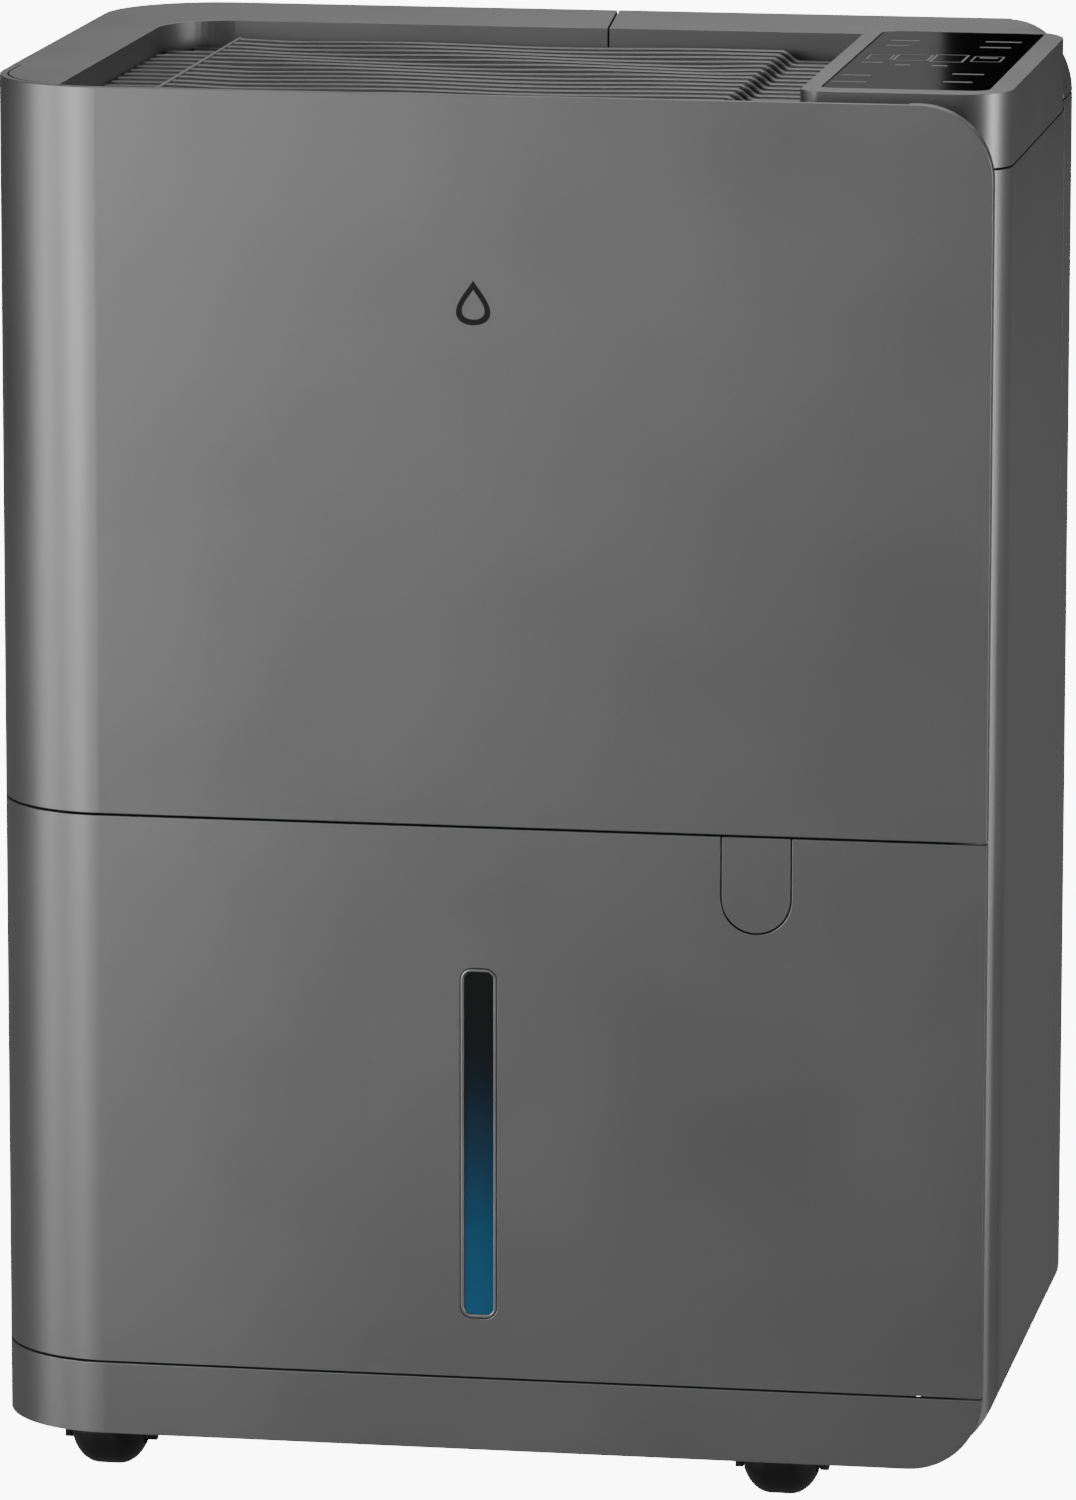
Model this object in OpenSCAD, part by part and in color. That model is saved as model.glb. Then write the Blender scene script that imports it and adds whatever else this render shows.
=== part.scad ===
// Free-standing compressor dehumidifier with a pull-out bucket.
// The origin is on the floor, under the middle of the casing; the front faces -Y and +Z is up.

/* [Casing] */
// Overall width of the casing
body_w = 385; // [350:1:470]
// Overall depth of the casing
body_d = 276; // [262:1:340]
// Height of the front face, from the skirt's lower edge to the rim
face_h = 518; // [500:1:630]
// Height of the skirt's lower edge above the floor
ground = 22; // [21:0.5:24]
// Wall thickness of the casing mouldings
wall = 3; // [2.5:0.1:4]
// Radius of the left-hand vertical corners
corner_r = 45; // [36:1:54]
// Radius of the rolled right-hand edges, top and bottom
roll_r = 28; // [22:1:34]
// Width of the shadow lines between mouldings
seam = 0.7; // [0.6:0.1:1.4]

/* [Front mouldings] */
// Height of the base skirt
skirt_h = 28.3; // [26:0.1:36]
// Height of the bucket's front, between its two shadow lines
bucket_face_h = 213.2; // [200:0.1:240]
// How far the front mouldings wrap round on to the left side
wrap_d = 62; // [60:1:80]
// Distance of the front mouldings' right edge from the side of the casing
plate_inset = 2.4; // [1:0.1:4]
// Depth of the lip round the front mouldings' right edge
lip_d = 6.5; // [5:0.1:9]
// Thickness of that lip
lip_t = 2.5; // [2:0.1:3]

/* [Side, rear and top mouldings] */
// Setback of the casing's right front corner behind the front face
case_front = 23; // [20:1:28]
// Radius of that corner
case_r = 19; // [15:1:22]
// Radius of the right rear corner
back_r = 45; // [36:1:54]
// Depth at which the side panels end and the rear cover starts
rear_split = 207; // [195:1:215]
// How much higher the rear cover reaches than the side panels
rear_step = 3.5; // [2:0.5:6]
// Height of the band that the top mouldings form
top_band_h = 27; // [26:1:32]
// Width of the rim on the left of the outlet tray
rim_left_w = 30.5; // [26:0.5:40]
// Width of the rim behind the outlet tray
rim_back_w = 61; // [56:1:70]
// Radius of the tray's rear left corner
tray_r = 28; // [15:1:34]
// Distance of the joint between the two rim mouldings from the middle
rim_joint_x = 6; // [-20:1:30]
// How much further right that joint meets the tray
rim_joint_slant = 6; // [0:0.5:10]

/* [Control housing] */
// Width of the control housing
housing_w = 78.5; // [74:0.5:90]
// How far its top stands above the rim
housing_rise = 1.5; // [0.5:0.1:2.5]
// How far it runs back over the rear rim
housing_lap = 9; // [6:0.5:14]
// Radius of its right rear corner
housing_r = 24; // [10:1:28]
// Width of the glass control panel
glass_w = 62.5; // [50:0.5:64]
// Length of the glass control panel
glass_l = 181; // [150:1:182]
// Thickness of the glass control panel
glass_t = 3; // [2:0.1:4]

/* [Outlet grille] */
// Distance between the tops of the raised bars and the rim
grille_drop = 6; // [4:0.5:9]
// How much lower the ends of the bars lie
grille_step = 4; // [3:0.5:6]
// Distance from one bar to the next
bar_pitch = 12; // [10:0.5:15]
// Width of one bar
bar_w = 7.5; // [5:0.5:8.5]
// Height of the bars' lower ends
bar_h = 8; // [6:0.5:9]
// Distance of the cross rib from the left end of the bars
rib_at = 28; // [20:1:40]
// Distance of the step at the bars' right end from that end
step_at = 31; // [20:1:40]

/* [Bucket] */
// Gap between the tank and the mouldings round it
tank_gap = 1.2; // [0.8:0.1:2]
// Depth of the tank, front to back
tank_d = 139; // [130:1:145]
// Height of the tank
tank_h = 163; // [150:1:168]
// Wall thickness of the tank
tank_wall = 2; // [1.6:0.1:3]
// Thickness of the lid
lid_t = 2.5; // [2:0.1:3]
// Length of the carrying handle's arms, pivot to grip
handle_len = 28; // [24:0.5:29]
// Distance between the handle's two pivot lugs
handle_span = 124; // [100:1:160]
// Diameter of the handle's pivots
handle_pin_d = 5; // [4:0.1:6]
// Diameter of the level float
float_d = 44; // [34:1:50]
// Diameter of the float's guide rod
float_rod_d = 6; // [5:0.1:8]
// Lift of the float from empty to full
float_lift = 12; // [8:1:16]

/* [Window and finger flap] */
// Width of the level window's bezel
bezel_w = 13.9; // [12:0.1:18]
// Height of the level window's bezel
bezel_h = 135.5; // [110:0.5:140]
// Width of the bezel's rim
bezel_rim = 1.35; // [1:0.05:2]
// Distance of the window from the middle of the casing
window_x = -2; // [-20:0.5:20]
// Distance from the bucket front's lower edge to the bezel
window_lift = 23; // [15:0.5:30]
// Width of the finger flap
flap_w = 26; // [22:0.5:32]
// Height of the finger flap
flap_h = 36.5; // [32:0.5:42]
// Distance of the flap from the middle of the casing
flap_x = 103.4; // [80:0.5:120]
// Depth of the finger pocket behind the flap
pocket_d = 24; // [20:1:26]
// Diameter of the flap's pin
flap_pin_d = 3; // [2.5:0.1:3.5]

/* [Casters] */
// Diameter of the caster wheels
wheel_d = 32; // [30:0.5:34]
// Width of the caster wheels
wheel_w = 27.8; // [24:0.1:30]
// Distance of the axle behind the front face, and before the rear face
caster_in = 40; // [36:1:48]
// Distance of the left casters from the middle
caster_left = 153; // [140:1:155]
// Distance of the right casters from the middle
caster_right = 109; // [100:1:130]
// Distance between the swivel stem and the axle
trail = 9; // [6:0.5:10]
// Diameter of the swivel stem
stem_d = 8; // [6:0.5:10]
// Diameter of the wheel axle
axle_d = 4; // [3:0.1:5]

/* [Air side] */
// Diameter of the fan wheel
fan_d = 180; // [150:1:190]
// Depth of the fan wheel
fan_w = 60; // [50:1:64]
// Number of fan blades
fan_blades = 28; // [16:1:36]
// Diameter of the motor shaft
shaft_d = 8; // [6:0.1:10]
// Width of the two coils and of the air intake
coil_w = 290; // [260:1:290]
// Height of the two coils and of the air intake
coil_h = 205; // [180:1:208]
// Thickness of each coil
coil_t = 25; // [20:1:27]
// Diameter of the coils' tubes
tube_d = 9.5; // [7:0.1:12]
// Number of tubes in each coil
tube_count = 8; // [4:2:10]
// Number of slats in the intake grille
slat_count = 15; // [9:1:19]

/* [Cold side] */
// Diameter of the compressor
comp_d = 108; // [96:1:112]
// Height of the compressor's shell
comp_h = 160; // [130:1:165]
// Diameter of the refrigerant pipes
pipe_d = 8; // [6:0.1:10]

/* [Rear fittings] */
// Outer diameter of the drain outlet's spigot
spigot_d = 26.4; // [20:0.1:27]
// Bore of the drain outlet
drain_bore_d = 18; // [12:0.1:19]
// Bore of the mains lead's gland
gland_bore_d = 7.5; // [6:0.1:9]

/* [Clearances] */
// Gap between fixed pieces that slip together
fit = 0.5; // [0.4:0.05:0.7]
// Radial gap of pins, pivots and shafts in their holes
running = 0.05; // [0.03:0.01:0.1]

/* [Hidden] */
$fn = 64;

graphite = "#6c6c6c";
charcoal = "#2b2c2c";
black = "#121212";
copper = "#b46a3c";

// edges of the casing
xl = -body_w / 2;
xr = body_w / 2;
yf = -body_d / 2;
yb = body_d / 2;
z_bot = ground;
z_top = ground + face_h;
function dy(depth) = yf + depth;

// shadow lines, given by the edges of the pieces above and below them
z_low = z_bot + skirt_h;
z_mid = z_low + bucket_face_h;
z_band = z_top - top_band_h;
plate_x = xr - plate_inset;
inner_x = xr - case_r - 10;
cheek_x = inner_x + 3.5;

// outlet tray and control housing
tray_x0 = xl + rim_left_w;
tray_x1 = xr - housing_w;
tray_y0 = yf + wall;
tray_y1 = yb - rim_back_w;
housing_y0 = dy(case_front);
housing_y1 = tray_y1 + housing_lap;
housing_z = z_top + housing_rise;
glass_x = tray_x1 + (housing_w - glass_w) / 2 - 1;
glass_y = housing_y0 + 11.5;
glass_ledge = 3;
glass_seat = 2;
board_t = 1.6;

// outlet grille
grille_x0 = tray_x0 + fit;
grille_x1 = tray_x1 - 2 * fit;
grille_y0 = tray_y0 + fit;
grille_y1 = tray_y1 - fit;
bars_z = z_top - grille_drop - grille_step;
bar_count = floor((grille_y1 - grille_y0 - bar_w) / bar_pitch) + 1;
bar_y0 = (grille_y0 + grille_y1) / 2 - (bar_count - 1) * bar_pitch / 2;
rail_w = 3;
step_run = 7;
rail_x = [grille_x0, -60, 30, grille_x1 - rail_w];

// bucket bay
deck_t = 3;
pan_wall = 2.5;
deck_z = z_low - seam / 2 - 0.8;
tank_x0 = xl + wall + tank_gap;
tank_x1 = inner_x;
tank_y0 = yf + wall + tank_gap;
tank_y1 = tank_y0 + tank_d;
tank_r = corner_r - wall - tank_gap;
tank_z0 = z_low + seam;
tank_z1 = tank_z0 + tank_h;
lid_z = tank_z1 + lid_t;
bay_back = tank_y1 + 5;
shelf_z = z_mid - seam / 2 - 2;
handle_x = (tank_x0 + tank_x1) / 2;
handle_y = tank_y0 + 75;
handle_z = lid_z + 6.5;
float_x = tank_x1 - 45;
float_y = tank_y1 - 40;
float_z = tank_z1 - float_lift - 28;
float_h = 26;
switch_z = float_z + float_lift;
spout_x = 60;
spout_y = tank_y1 - 30;
pour_x = tank_x0 + 48;
pour_y = tank_y1 - 34;

// flap and its pocket
flap_top = z_mid - seam / 2;
flap_gap = 0.5;
flap_pin_y = yf + wall + 3.5;
flap_pin_z = flap_top - 5.5;
pocket_wall = 1.5;
pocket_x0 = flap_x - flap_w / 2 - flap_gap - 0.5;
pocket_x1 = flap_x + flap_w / 2 + flap_gap + 0.5;

// air side, back to front
coil_x = (xl + corner_r + xr - back_r) / 2;
coil_x0 = coil_x - coil_w / 2;
coil_x1 = coil_x + coil_w / 2;
filter_y = yb - 9;
intake_rim = 9;
slat_t = 3;
pane_gap = 6;
pane_w = (coil_w - 3 * pane_gap - 2) / 2;
pane_h = (coil_h - 3 * pane_gap - 2) / 2;
evap_y = yb - 23;
cond_y = evap_y - coil_t - 8;
coil_z0 = shelf_z + 25;
fan_x = -20;
fan_z = coil_z0 + 115;
scroll_r = fan_d / 2 + 22;
scroll_y0 = dy(60);
scroll_y1 = scroll_y0 + fan_w + 20;
scroll_t = 2;
lug_r = 50;
outlet_z = z_band - 5;
frame_y = yf + lip_d + 2;
frame_t = 3;
gap_in = 12; // how far the gap behind the front mouldings' edge reaches in
gap_t = 2.5;
inner_fit = wall + tank_gap; // inner mouldings stand this far inside the outer faces

// machine bay
tray_h = 16;
tray_t = 2.5;
tray_front = 40;
comp_x = 75;
comp_y = bay_back + 6 + comp_d / 2;
foot_h = 12;
comp_z = deck_z + foot_h;
comp_foot = 45;
foot_plate = 2 * comp_foot + 18;
bend_r = 10;
tube_end = coil_x1 + 6;
riser_x = tube_end + bend_r;
riser_z0 = comp_z + comp_h * 0.62;

axle_z = wheel_d / 2;
fork_top = wheel_d + 4;
stem_y = body_d / 2 - caster_in - trail;
ear_x = wheel_w / 2 + 1.1;
spigot_cup_d = 50;
gland_sleeve_d = gland_bore_d + 8;
screw_d = 4;
screw_in = 12;
screw_head_d = 8.2;
boss_d = 12;
boss_l = 7;
intake_wall = 2.5;
spigot_x = xl + corner_r + spigot_cup_d / 2 + 2.5;
spigot_z = deck_z + 48;
gland_x = xr - back_r - 35.5;
gland_z = deck_z + 24;

// helpers

// flat outline drawn in X and Y, raised between two heights
module along_z(z0, z1) translate([0, 0, z0]) linear_extrude(z1 - z0) children();

// flat outline drawn in X and Z, carried between two depths
module along_y(y0, y1) translate([0, y1, 0]) rotate([90, 0, 0]) linear_extrude(y1 - y0) children();

// flat outline drawn in Y and Z, carried between two widths
module along_x(x0, x1) translate([x0, 0, 0]) rotate([90, 0, 90]) linear_extrude(x1 - x0) children();

module box(x0, x1, y0, y1, z0, z1) translate([x0, y0, z0]) cube([x1 - x0, y1 - y0, z1 - z0]);

// round bars along each axis
module rod_x(x0, x1, y, z, d) translate([x0, y, z]) rotate([0, 90, 0]) cylinder(h = x1 - x0, d = d);
module rod_y(y0, y1, x, z, d) translate([x, y1, z]) rotate([90, 0, 0]) cylinder(h = y1 - y0, d = d);
module rod_z(z0, z1, x, y, d) translate([x, y, z0]) cylinder(h = z1 - z0, d = d);

// what a rounded corner loses; sx and sy point from the corner into the outline
module corner_cut(x, y, sx, sy, r)
    if (r > 0) difference() {
        translate([x - (sx > 0 ? 1 : r), y - (sy > 0 ? 1 : r)]) square(r + 1);
        translate([x + sx * r, y + sy * r]) circle(r);
    }

// rectangle with a radius of its own at each corner
module round_rect(x0, y0, x1, y1, r00 = 0, r10 = 0, r01 = 0, r11 = 0)
    difference() {
        translate([x0, y0]) square([x1 - x0, y1 - y0]);
        corner_cut(x0, y0, 1, 1, r00);
        corner_cut(x1, y0, -1, 1, r10);
        corner_cut(x0, y1, 1, -1, r01);
        corner_cut(x1, y1, -1, -1, r11);
    }

module pill(x, z, w, h, r) round_rect(x - w / 2, z, x + w / 2, z + h, r, r, r, r);

// plan of the front mouldings, drawn in by i
module plan_front(i)
    round_rect(xl + i, yf + i, i > 0 ? xr : plate_x, yf + wrap_d + (i > 0 ? 1 : 0), r00 = corner_r - i);

// plan of the casing behind them, drawn in by i, with the step at its right front corner
module plan_case(i) {
    round_rect(xl + i, yf + i, inner_x, yb - i, r00 = corner_r - i, r01 = corner_r - i);
    round_rect(0, dy(case_front) + i, xr - i, yb - i, r10 = case_r - i, r11 = back_r - i);
}

// front view of the casing, rolled at its right-hand edges
module roll(right, i)
    round_rect(xl - 20, z_bot + i, right - i, z_top - i, r10 = roll_r - i, r11 = roll_r - i);

// solid that fills the casing, drawn in by i
module casing(i)
    intersection() {
        along_z(z_bot + i, z_top - i) plan_case(i);
        along_y(yf - 1, yb + 1) roll(xr, i);
    }

module front_shell(z0, z1) {
    difference() {
        intersection() {
            along_z(z0, z1) plan_front(0);
            along_y(yf - 1, yf + wrap_d + 1) roll(plate_x, 0);
        }
        along_z(z0 - 1, z1 + 1) plan_front(wall);
    }
    intersection() {
        along_y(yf + wall / 2, yf + lip_d) difference() {
            roll(plate_x, 0);
            roll(plate_x, lip_t);
        }
        box(plate_x - roll_r - 4, plate_x + 1, yf, yf + lip_d + 1, z0, z1);
    }
}

// stiffening flange behind a shadow line, following the wrapped corner
module seam_flange(z0, z1)
    intersection() {
        along_z(z0, z1) difference() {
            plan_front(wall - 0.5);
            plan_front(wall + tank_gap - 0.4);
        }
        box(xl, inner_x, yf, yf + wrap_d, z0, z1);
    }

// casing

module front_cover() color(graphite) {
    front_shell(z_mid + seam / 2, z_top);
    seam_flange(z_mid + seam / 2, z_mid + seam / 2 + 6);
}

module base_skirt() color(graphite) {
    front_shell(z_bot, z_low - seam / 2);
    seam_flange(z_low - seam / 2 - 6, z_low - seam / 2);
}

module side_panel_left() color(graphite)
    intersection() {
        difference() {
            casing(0);
            casing(wall);
        }
        box(xl - 1, xl + wall, yf + wrap_d + seam, dy(rear_split) - seam / 2, z_bot, z_band - seam / 2);
    }

module side_panel_right() color(graphite)
    intersection() {
        difference() {
            casing(0);
            casing(wall);
        }
        box(xr - roll_r - 6, xr + 1, dy(case_front), dy(rear_split) - seam / 2, z_bot, z_band - seam / 2);
        union() {
            box(xr - case_r - 3, xr + 1, yf, yb, z_bot - 1, z_top);
            box(xl, xr, dy(case_front) + case_r, yb, z_bot - 1, z_bot + wall + 1);
        }
    }

module each_screw()
    for (x = [xl + corner_r + screw_in, xr - back_r - screw_in],
        z = [deck_z + 12, coil_z0 - 22, z_band - 10])
        translate([x, yb, z]) rotate([90, 0, 0]) children();

module rear_cover() color(graphite)
    difference() {
        union() {
            difference() {
                intersection() {
                    casing(0);
                    box(xl - 1, xr + 1, dy(rear_split) + seam / 2, yb + 1, z_bot,
                        z_band + rear_step - seam / 2);
                }
                casing(wall);
                // open underneath, except for the rolled edge
                along_z(z_bot - 1, z_bot + wall + 1) intersection() {
                    plan_case(wall);
                    translate([xl, yf]) square([body_w - roll_r - 4, body_d]);
                }
            }
            along_y(evap_y + 3, yb - wall / 2) intake_outline(-intake_wall);
            each_screw() translate([0, 0, wall / 2]) cylinder(h = boss_l, d = boss_d);
        }
        along_y(evap_y + 2, yb + 1) intake_outline(0);
        each_screw() translate([0, 0, -1]) cylinder(h = 4, d = screw_head_d + 0.8);
        each_screw() translate([0, 0, -1]) cylinder(h = 20, d = screw_d + 0.4);
        rod_y(yb - 10, yb + 1, spigot_x, spigot_z, spigot_cup_d + 0.4);
        rod_y(yb - 10, yb + 1, gland_x, gland_z, gland_sleeve_d + 0.4);
        along_z(z_band - seam / 2, z_top) housing_plan(-fit);
    }

module intake_outline(i)
    round_rect(coil_x0 + i, coil_z0 + i, coil_x1 - i, coil_z0 + coil_h - i, 6, 6, 6, 6);

module rear_screws() color("#8f9092")
    each_screw() {
        translate([0, 0, 0.4]) difference() {
            cylinder(h = 2.6, d = screw_head_d);
            for (a = [0, 90]) rotate(a) translate([-2.2, -0.5, -1]) cube([4.4, 1, 2.4]);
        }
        translate([0, 0, 2.9]) cylinder(h = 11, d = screw_d);
    }

// top mouldings

module tray_outline(i)
    round_rect(tray_x0 - i, tray_y0 - i, tray_x1, tray_y1 + i, r01 = tray_r + i);

// plan of the top mouldings, inside the wrapped front and flush with the panels behind it
module plan_top(i) {
    intersection() {
        plan_case(i);
        translate([xl - 1, yf + wrap_d + seam]) square([body_w + 2, body_d]);
    }
    intersection() {
        plan_case(max(i, wall) + fit);
        translate([xl - 1, yf]) square([body_w + 2, wrap_d + seam + 2]);
    }
}

// what the control housing takes out of the rim, grown by i
module housing_place(i) {
    housing_plan(-i);
    translate([tray_x1 - i, yf]) square([body_w, rear_split + 1.5 + i]);
}

// side is -1 for the piece left of the joint and 1 for the piece right of it
module rim_half(side) {
    front_x = rim_joint_x + rim_joint_slant + side * seam / 2;
    back_x = rim_joint_x + side * seam / 2;
    far_x = side * body_w;
    along_z(z_bot, z_top + 1)
        polygon([[far_x, yf], [front_x, yf], [front_x, tray_y1], [back_x, yb + 1], [far_x, yb + 1]]);
}

module rim_shell(side)
    difference() {
        intersection() {
            along_z(z_band + seam / 2, z_top) difference() {
                plan_top(0);
                tray_outline(0);
                housing_place(fit);
            }
            along_y(yf - 1, yb + 1) roll(xr, 0);
            rim_half(side);
        }
        intersection() {
            along_z(z_bot, z_top) difference() {
                plan_top(wall);
                tray_outline(wall - 0.5);
                housing_place(fit + wall);
            }
            casing(wall);
        }
        // the rear cover reaches higher than the side panels
        box(xl - 1, xr + 1, dy(rear_split) - seam / 2, yb + 1, z_bot, z_band + rear_step + seam / 2);
    }

module rim_left() color(graphite) rim_shell(-1);
module rim_right() color(graphite) rim_shell(1);

module housing_plan(i)
    round_rect(tray_x1 + i, housing_y0 + i, xr - i, housing_y1 - i,
        r00 = 8 - i, r10 = case_r - i, r11 = housing_r - i);

module glass_outline(i)
    round_rect(glass_x - i, glass_y - i, glass_x + glass_w + i, glass_y + glass_l + i,
        4 + i, 6 + i, 8 + i, 4 + i);

module control_housing() color(graphite)
    difference() {
        along_z(z_band + seam / 2, housing_z) housing_plan(0);
        along_z(z_band - 1, housing_z - glass_t - glass_seat) housing_plan(wall);
        along_z(housing_z - glass_t, housing_z + 1) glass_outline(0.15);
        along_z(z_band, housing_z) glass_outline(-glass_ledge);
    }

module control_glass() color(black)
    along_z(housing_z - glass_t, housing_z - 0.2) glass_outline(0);

// held against the underside of the ledge that the glass lies on
module control_board() color("#20452f") {
    z1 = housing_z - glass_t - glass_seat;
    along_z(z1 - board_t, z1) glass_outline(-1);
    for (k = [0:6])
        box(glass_x + 14, glass_x + 20, glass_y + 24 + 20 * k, glass_y + 30 + 20 * k, z1 - 0.2,
            z1 + glass_seat - 0.3);
}

// outlet grille

module outlet_grille() color("#767676") {
    x0 = grille_x0;
    x1 = grille_x1 - step_at;
    y1 = bar_y0 + (bar_count - 1) * bar_pitch;
    rail_z = bars_z - bar_h;
    difference() {
        union() {
            for (k = [0:bar_count - 1])
                along_y(bar_y0 + k * bar_pitch - bar_w / 2, bar_y0 + k * bar_pitch + bar_w / 2)
                    polygon([
                        [x0, rail_z], [grille_x1, rail_z], [grille_x1, bars_z], [x1 + step_run, bars_z],
                        [x1 + step_run * 0.7, bars_z + grille_step * 0.2],
                        [x1 + step_run * 0.3, bars_z + grille_step * 0.8],
                        [x1, bars_z + grille_step], [x0 + rib_at, bars_z + grille_step],
                        [x0 + rib_at, bars_z], [x0, bars_z]
                    ]);
            // cross rib, and the rails that carry the bars
            box(x0 + rib_at - 0.8, x0 + rib_at + 1, bar_y0 - bar_w / 2, y1 + bar_w / 2, bars_z - 3,
                bars_z + grille_step + 0.3);
            for (x = rail_x) box(x, x + rail_w, grille_y0, grille_y1, rail_z - rail_w, rail_z + 2);
            for (y = [grille_y0, grille_y1 - rail_w])
                box(x0, grille_x1, y, y + rail_w, rail_z - rail_w, rail_z + 2);
            // feet on the fan scroll's flange
            for (x = rail_x, y = [grille_y0 + 8, grille_y1 - 40])
                box(x, x + rail_w, y, y + 6, outlet_z, rail_z - rail_w + 1);
        }
        // follows the tray's round corner and the inside of the front cover's
        along_z(z_bot, z_top) {
            corner_cut(x0, grille_y1, 1, -1, tray_r - fit);
            corner_cut(xl + wall + fit, yf + wall + fit, 1, 1, corner_r - wall - fit);
        }
    }
}

// frame, pan and partitions

module front_frame() color(charcoal) {
    // plate that the fan motor stands on
    box(xl + corner_r + 6, plate_x - gap_in - 1, frame_y, frame_y + frame_t, z_mid + seam / 2 + 8,
        outlet_z - 4);
    // wall that closes the gap behind the front mouldings' right and top edges
    intersection() {
        along_y(yf + wall + fit, housing_y0 - fit) difference() {
            roll(plate_x, gap_in);
            roll(plate_x, gap_in + gap_t);
        }
        union() {
            box(tray_x1, xr, yf, yb, z_mid, z_top);
            box(inner_x + 0.1, xr, yf, yb, z_bot, z_mid + 1);
        }
    }
    box(tray_x1, tray_x1 + gap_t, yf + wall + fit, housing_y0 - fit, outlet_z - 10, z_top - gap_in);
}

module each_caster()
    for (x = [-caster_left, caster_right], s = [-1, 1]) translate([x, s * stem_y, 0]) children();

module base_pan() color(charcoal)
    difference() {
        union() {
            difference() {
                intersection() {
                    casing(inner_fit);
                    box(xl, xr, yf + inner_fit + 2, yb, z_bot, deck_z);
                }
                along_z(z_bot - 1, deck_z - deck_t) intersection() {
                    plan_case(inner_fit + pan_wall);
                    translate([xl, yf + inner_fit + 2 + pan_wall]) square([body_w, body_d]);
                }
            }
            each_caster() translate([0, 0, fork_top + 0.6])
                cylinder(h = deck_z - deck_t - fork_top, d = stem_d + 14);
            // runners that the bucket slides on
            for (x = [xl + 60, inner_x - 60]) box(x, x + 8, yf + 14, bay_back - 2, deck_z - 1, tank_z0 - 0.3);
        }
        each_caster() translate([0, 0, z_bot - 5]) cylinder(h = deck_z - z_bot + 4, d = stem_d + 2 * running);
    }

module partition() color(charcoal)
    difference() {
        intersection() {
            casing(wall + fit);
            box(xl, xr, bay_back, bay_back + 3, deck_z, shelf_z);
        }
        // window for the level switch
        box(float_x - 9, float_x + 9, bay_back - 1, bay_back + 4, switch_z, switch_z + 22);
    }

module drip_tray() color(charcoal)
    difference() {
        union() {
            intersection() {
                along_z(shelf_z, shelf_z + tray_h) plan_case(inner_fit);
                union() {
                    difference() {
                        box(xl, xr, dy(tray_front), evap_y + 2, shelf_z, shelf_z + tray_h);
                        along_z(shelf_z + tray_t, z_top) plan_case(inner_fit + tray_t);
                    }
                    box(xl, xr, evap_y + 2 - tray_t, evap_y + 2, shelf_z, shelf_z + tray_h);
                    box(xl, xr, dy(tray_front), dy(tray_front) + tray_t, shelf_z, shelf_z + tray_h - 4);
                }
            }
            rod_z(shelf_z - 8, shelf_z + 1, spout_x, spout_y, 18);
            // blocks under the two coils
            for (x = [coil_x0, coil_x - 4, coil_x1 - 8])
                box(x, x + 8, cond_y - coil_t, evap_y, shelf_z + 1, coil_z0);
        }
        rod_z(shelf_z - 9, shelf_z + 4, spout_x, spout_y, 14);
        for (y = [cond_y, evap_y]) rod_z(shelf_z - 2, shelf_z + 5, riser_x, y - coil_t / 2, pipe_d + 4);
    }

// air path

module intake_grille() color(charcoal) {
    along_y(yb - 8, yb) difference() {
        intake_outline(fit);
        round_rect(coil_x0 + intake_rim, coil_z0 + intake_rim, coil_x1 - intake_rim,
            coil_z0 + coil_h - intake_rim, 3, 3, 3, 3);
        // thumb notch
        pill(coil_x, coil_z0 + coil_h - 7, 46, 5, 2.4);
    }
    pitch = (coil_h - 2 * intake_rim) / (slat_count + 1);
    for (k = [1:slat_count], z = coil_z0 + intake_rim + k * pitch)
        box(coil_x0 + 8, coil_x1 - 8, yb - 7, yb - 0.8, z - slat_t / 2, z + slat_t / 2);
    for (k = [-1:1], x = coil_x + k * coil_w / 4)
        box(x - slat_t / 2, x + slat_t / 2, yb - 8, yb - 3, coil_z0 + 8, coil_z0 + coil_h - 8);
}

// four panes of the filter, two by two
module each_pane()
    for (i = [0, 1], k = [0, 1])
        translate([
            coil_x0 + 1 + pane_gap + i * (pane_w + pane_gap), 0,
            coil_z0 + 1 + pane_gap + k * (pane_h + pane_gap)
        ]) children();

module filter_frame() color("#3a3b3c")
    difference() {
        along_y(filter_y - 6, filter_y) intake_outline(fit + 0.5);
        each_pane() translate([0, filter_y - 7, 0]) cube([pane_w, 8, pane_h]);
    }

module filter_mesh() color("#4a4d50")
    each_pane() translate([0, filter_y - 3.5, 0]) cube([pane_w, 1, pane_h]);

function tube_z(k) = coil_z0 + coil_h * (k + 0.5) / tube_count;

module coil_fins(y) {
    difference() {
        box(coil_x0, coil_x1, y - coil_t, y, coil_z0, coil_z0 + coil_h);
        for (k = [0:tube_count - 1])
            rod_x(coil_x0 - 1, coil_x1 + 1, y - coil_t / 2, tube_z(k), tube_d + 2 * running);
    }
}

// return bend, belled a little so that the straight tubes enter it
module pipe_bend(d, r, angle) rotate_extrude(angle = angle) translate([r, 0]) circle(d = d + 0.8);

// tubes joined at their ends by turn into one path, with both its ends on the right
module coil_tubes(y) {
    x0 = coil_x0 - 4;
    x1 = coil_x1 + 4;
    step = coil_h / tube_count;
    for (k = [0:tube_count - 1]) rod_x(x0 - 2, tube_end, y - coil_t / 2, tube_z(k), tube_d);
    for (k = [0:tube_count - 2])
        translate([k % 2 == 1 ? x1 : x0, y - coil_t / 2, tube_z(k) + step / 2])
            rotate([90, 0, 0]) rotate([0, 0, k % 2 == 1 ? -90 : 90]) pipe_bend(tube_d, step / 2, 180);
}

module evaporator_fins() color("#c9cdd0") coil_fins(evap_y);
module evaporator_tubes() color(copper) coil_tubes(evap_y);
module condenser_fins() color("#c9cdd0") coil_fins(cond_y);
module condenser_tubes() color(copper) coil_tubes(cond_y);

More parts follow.
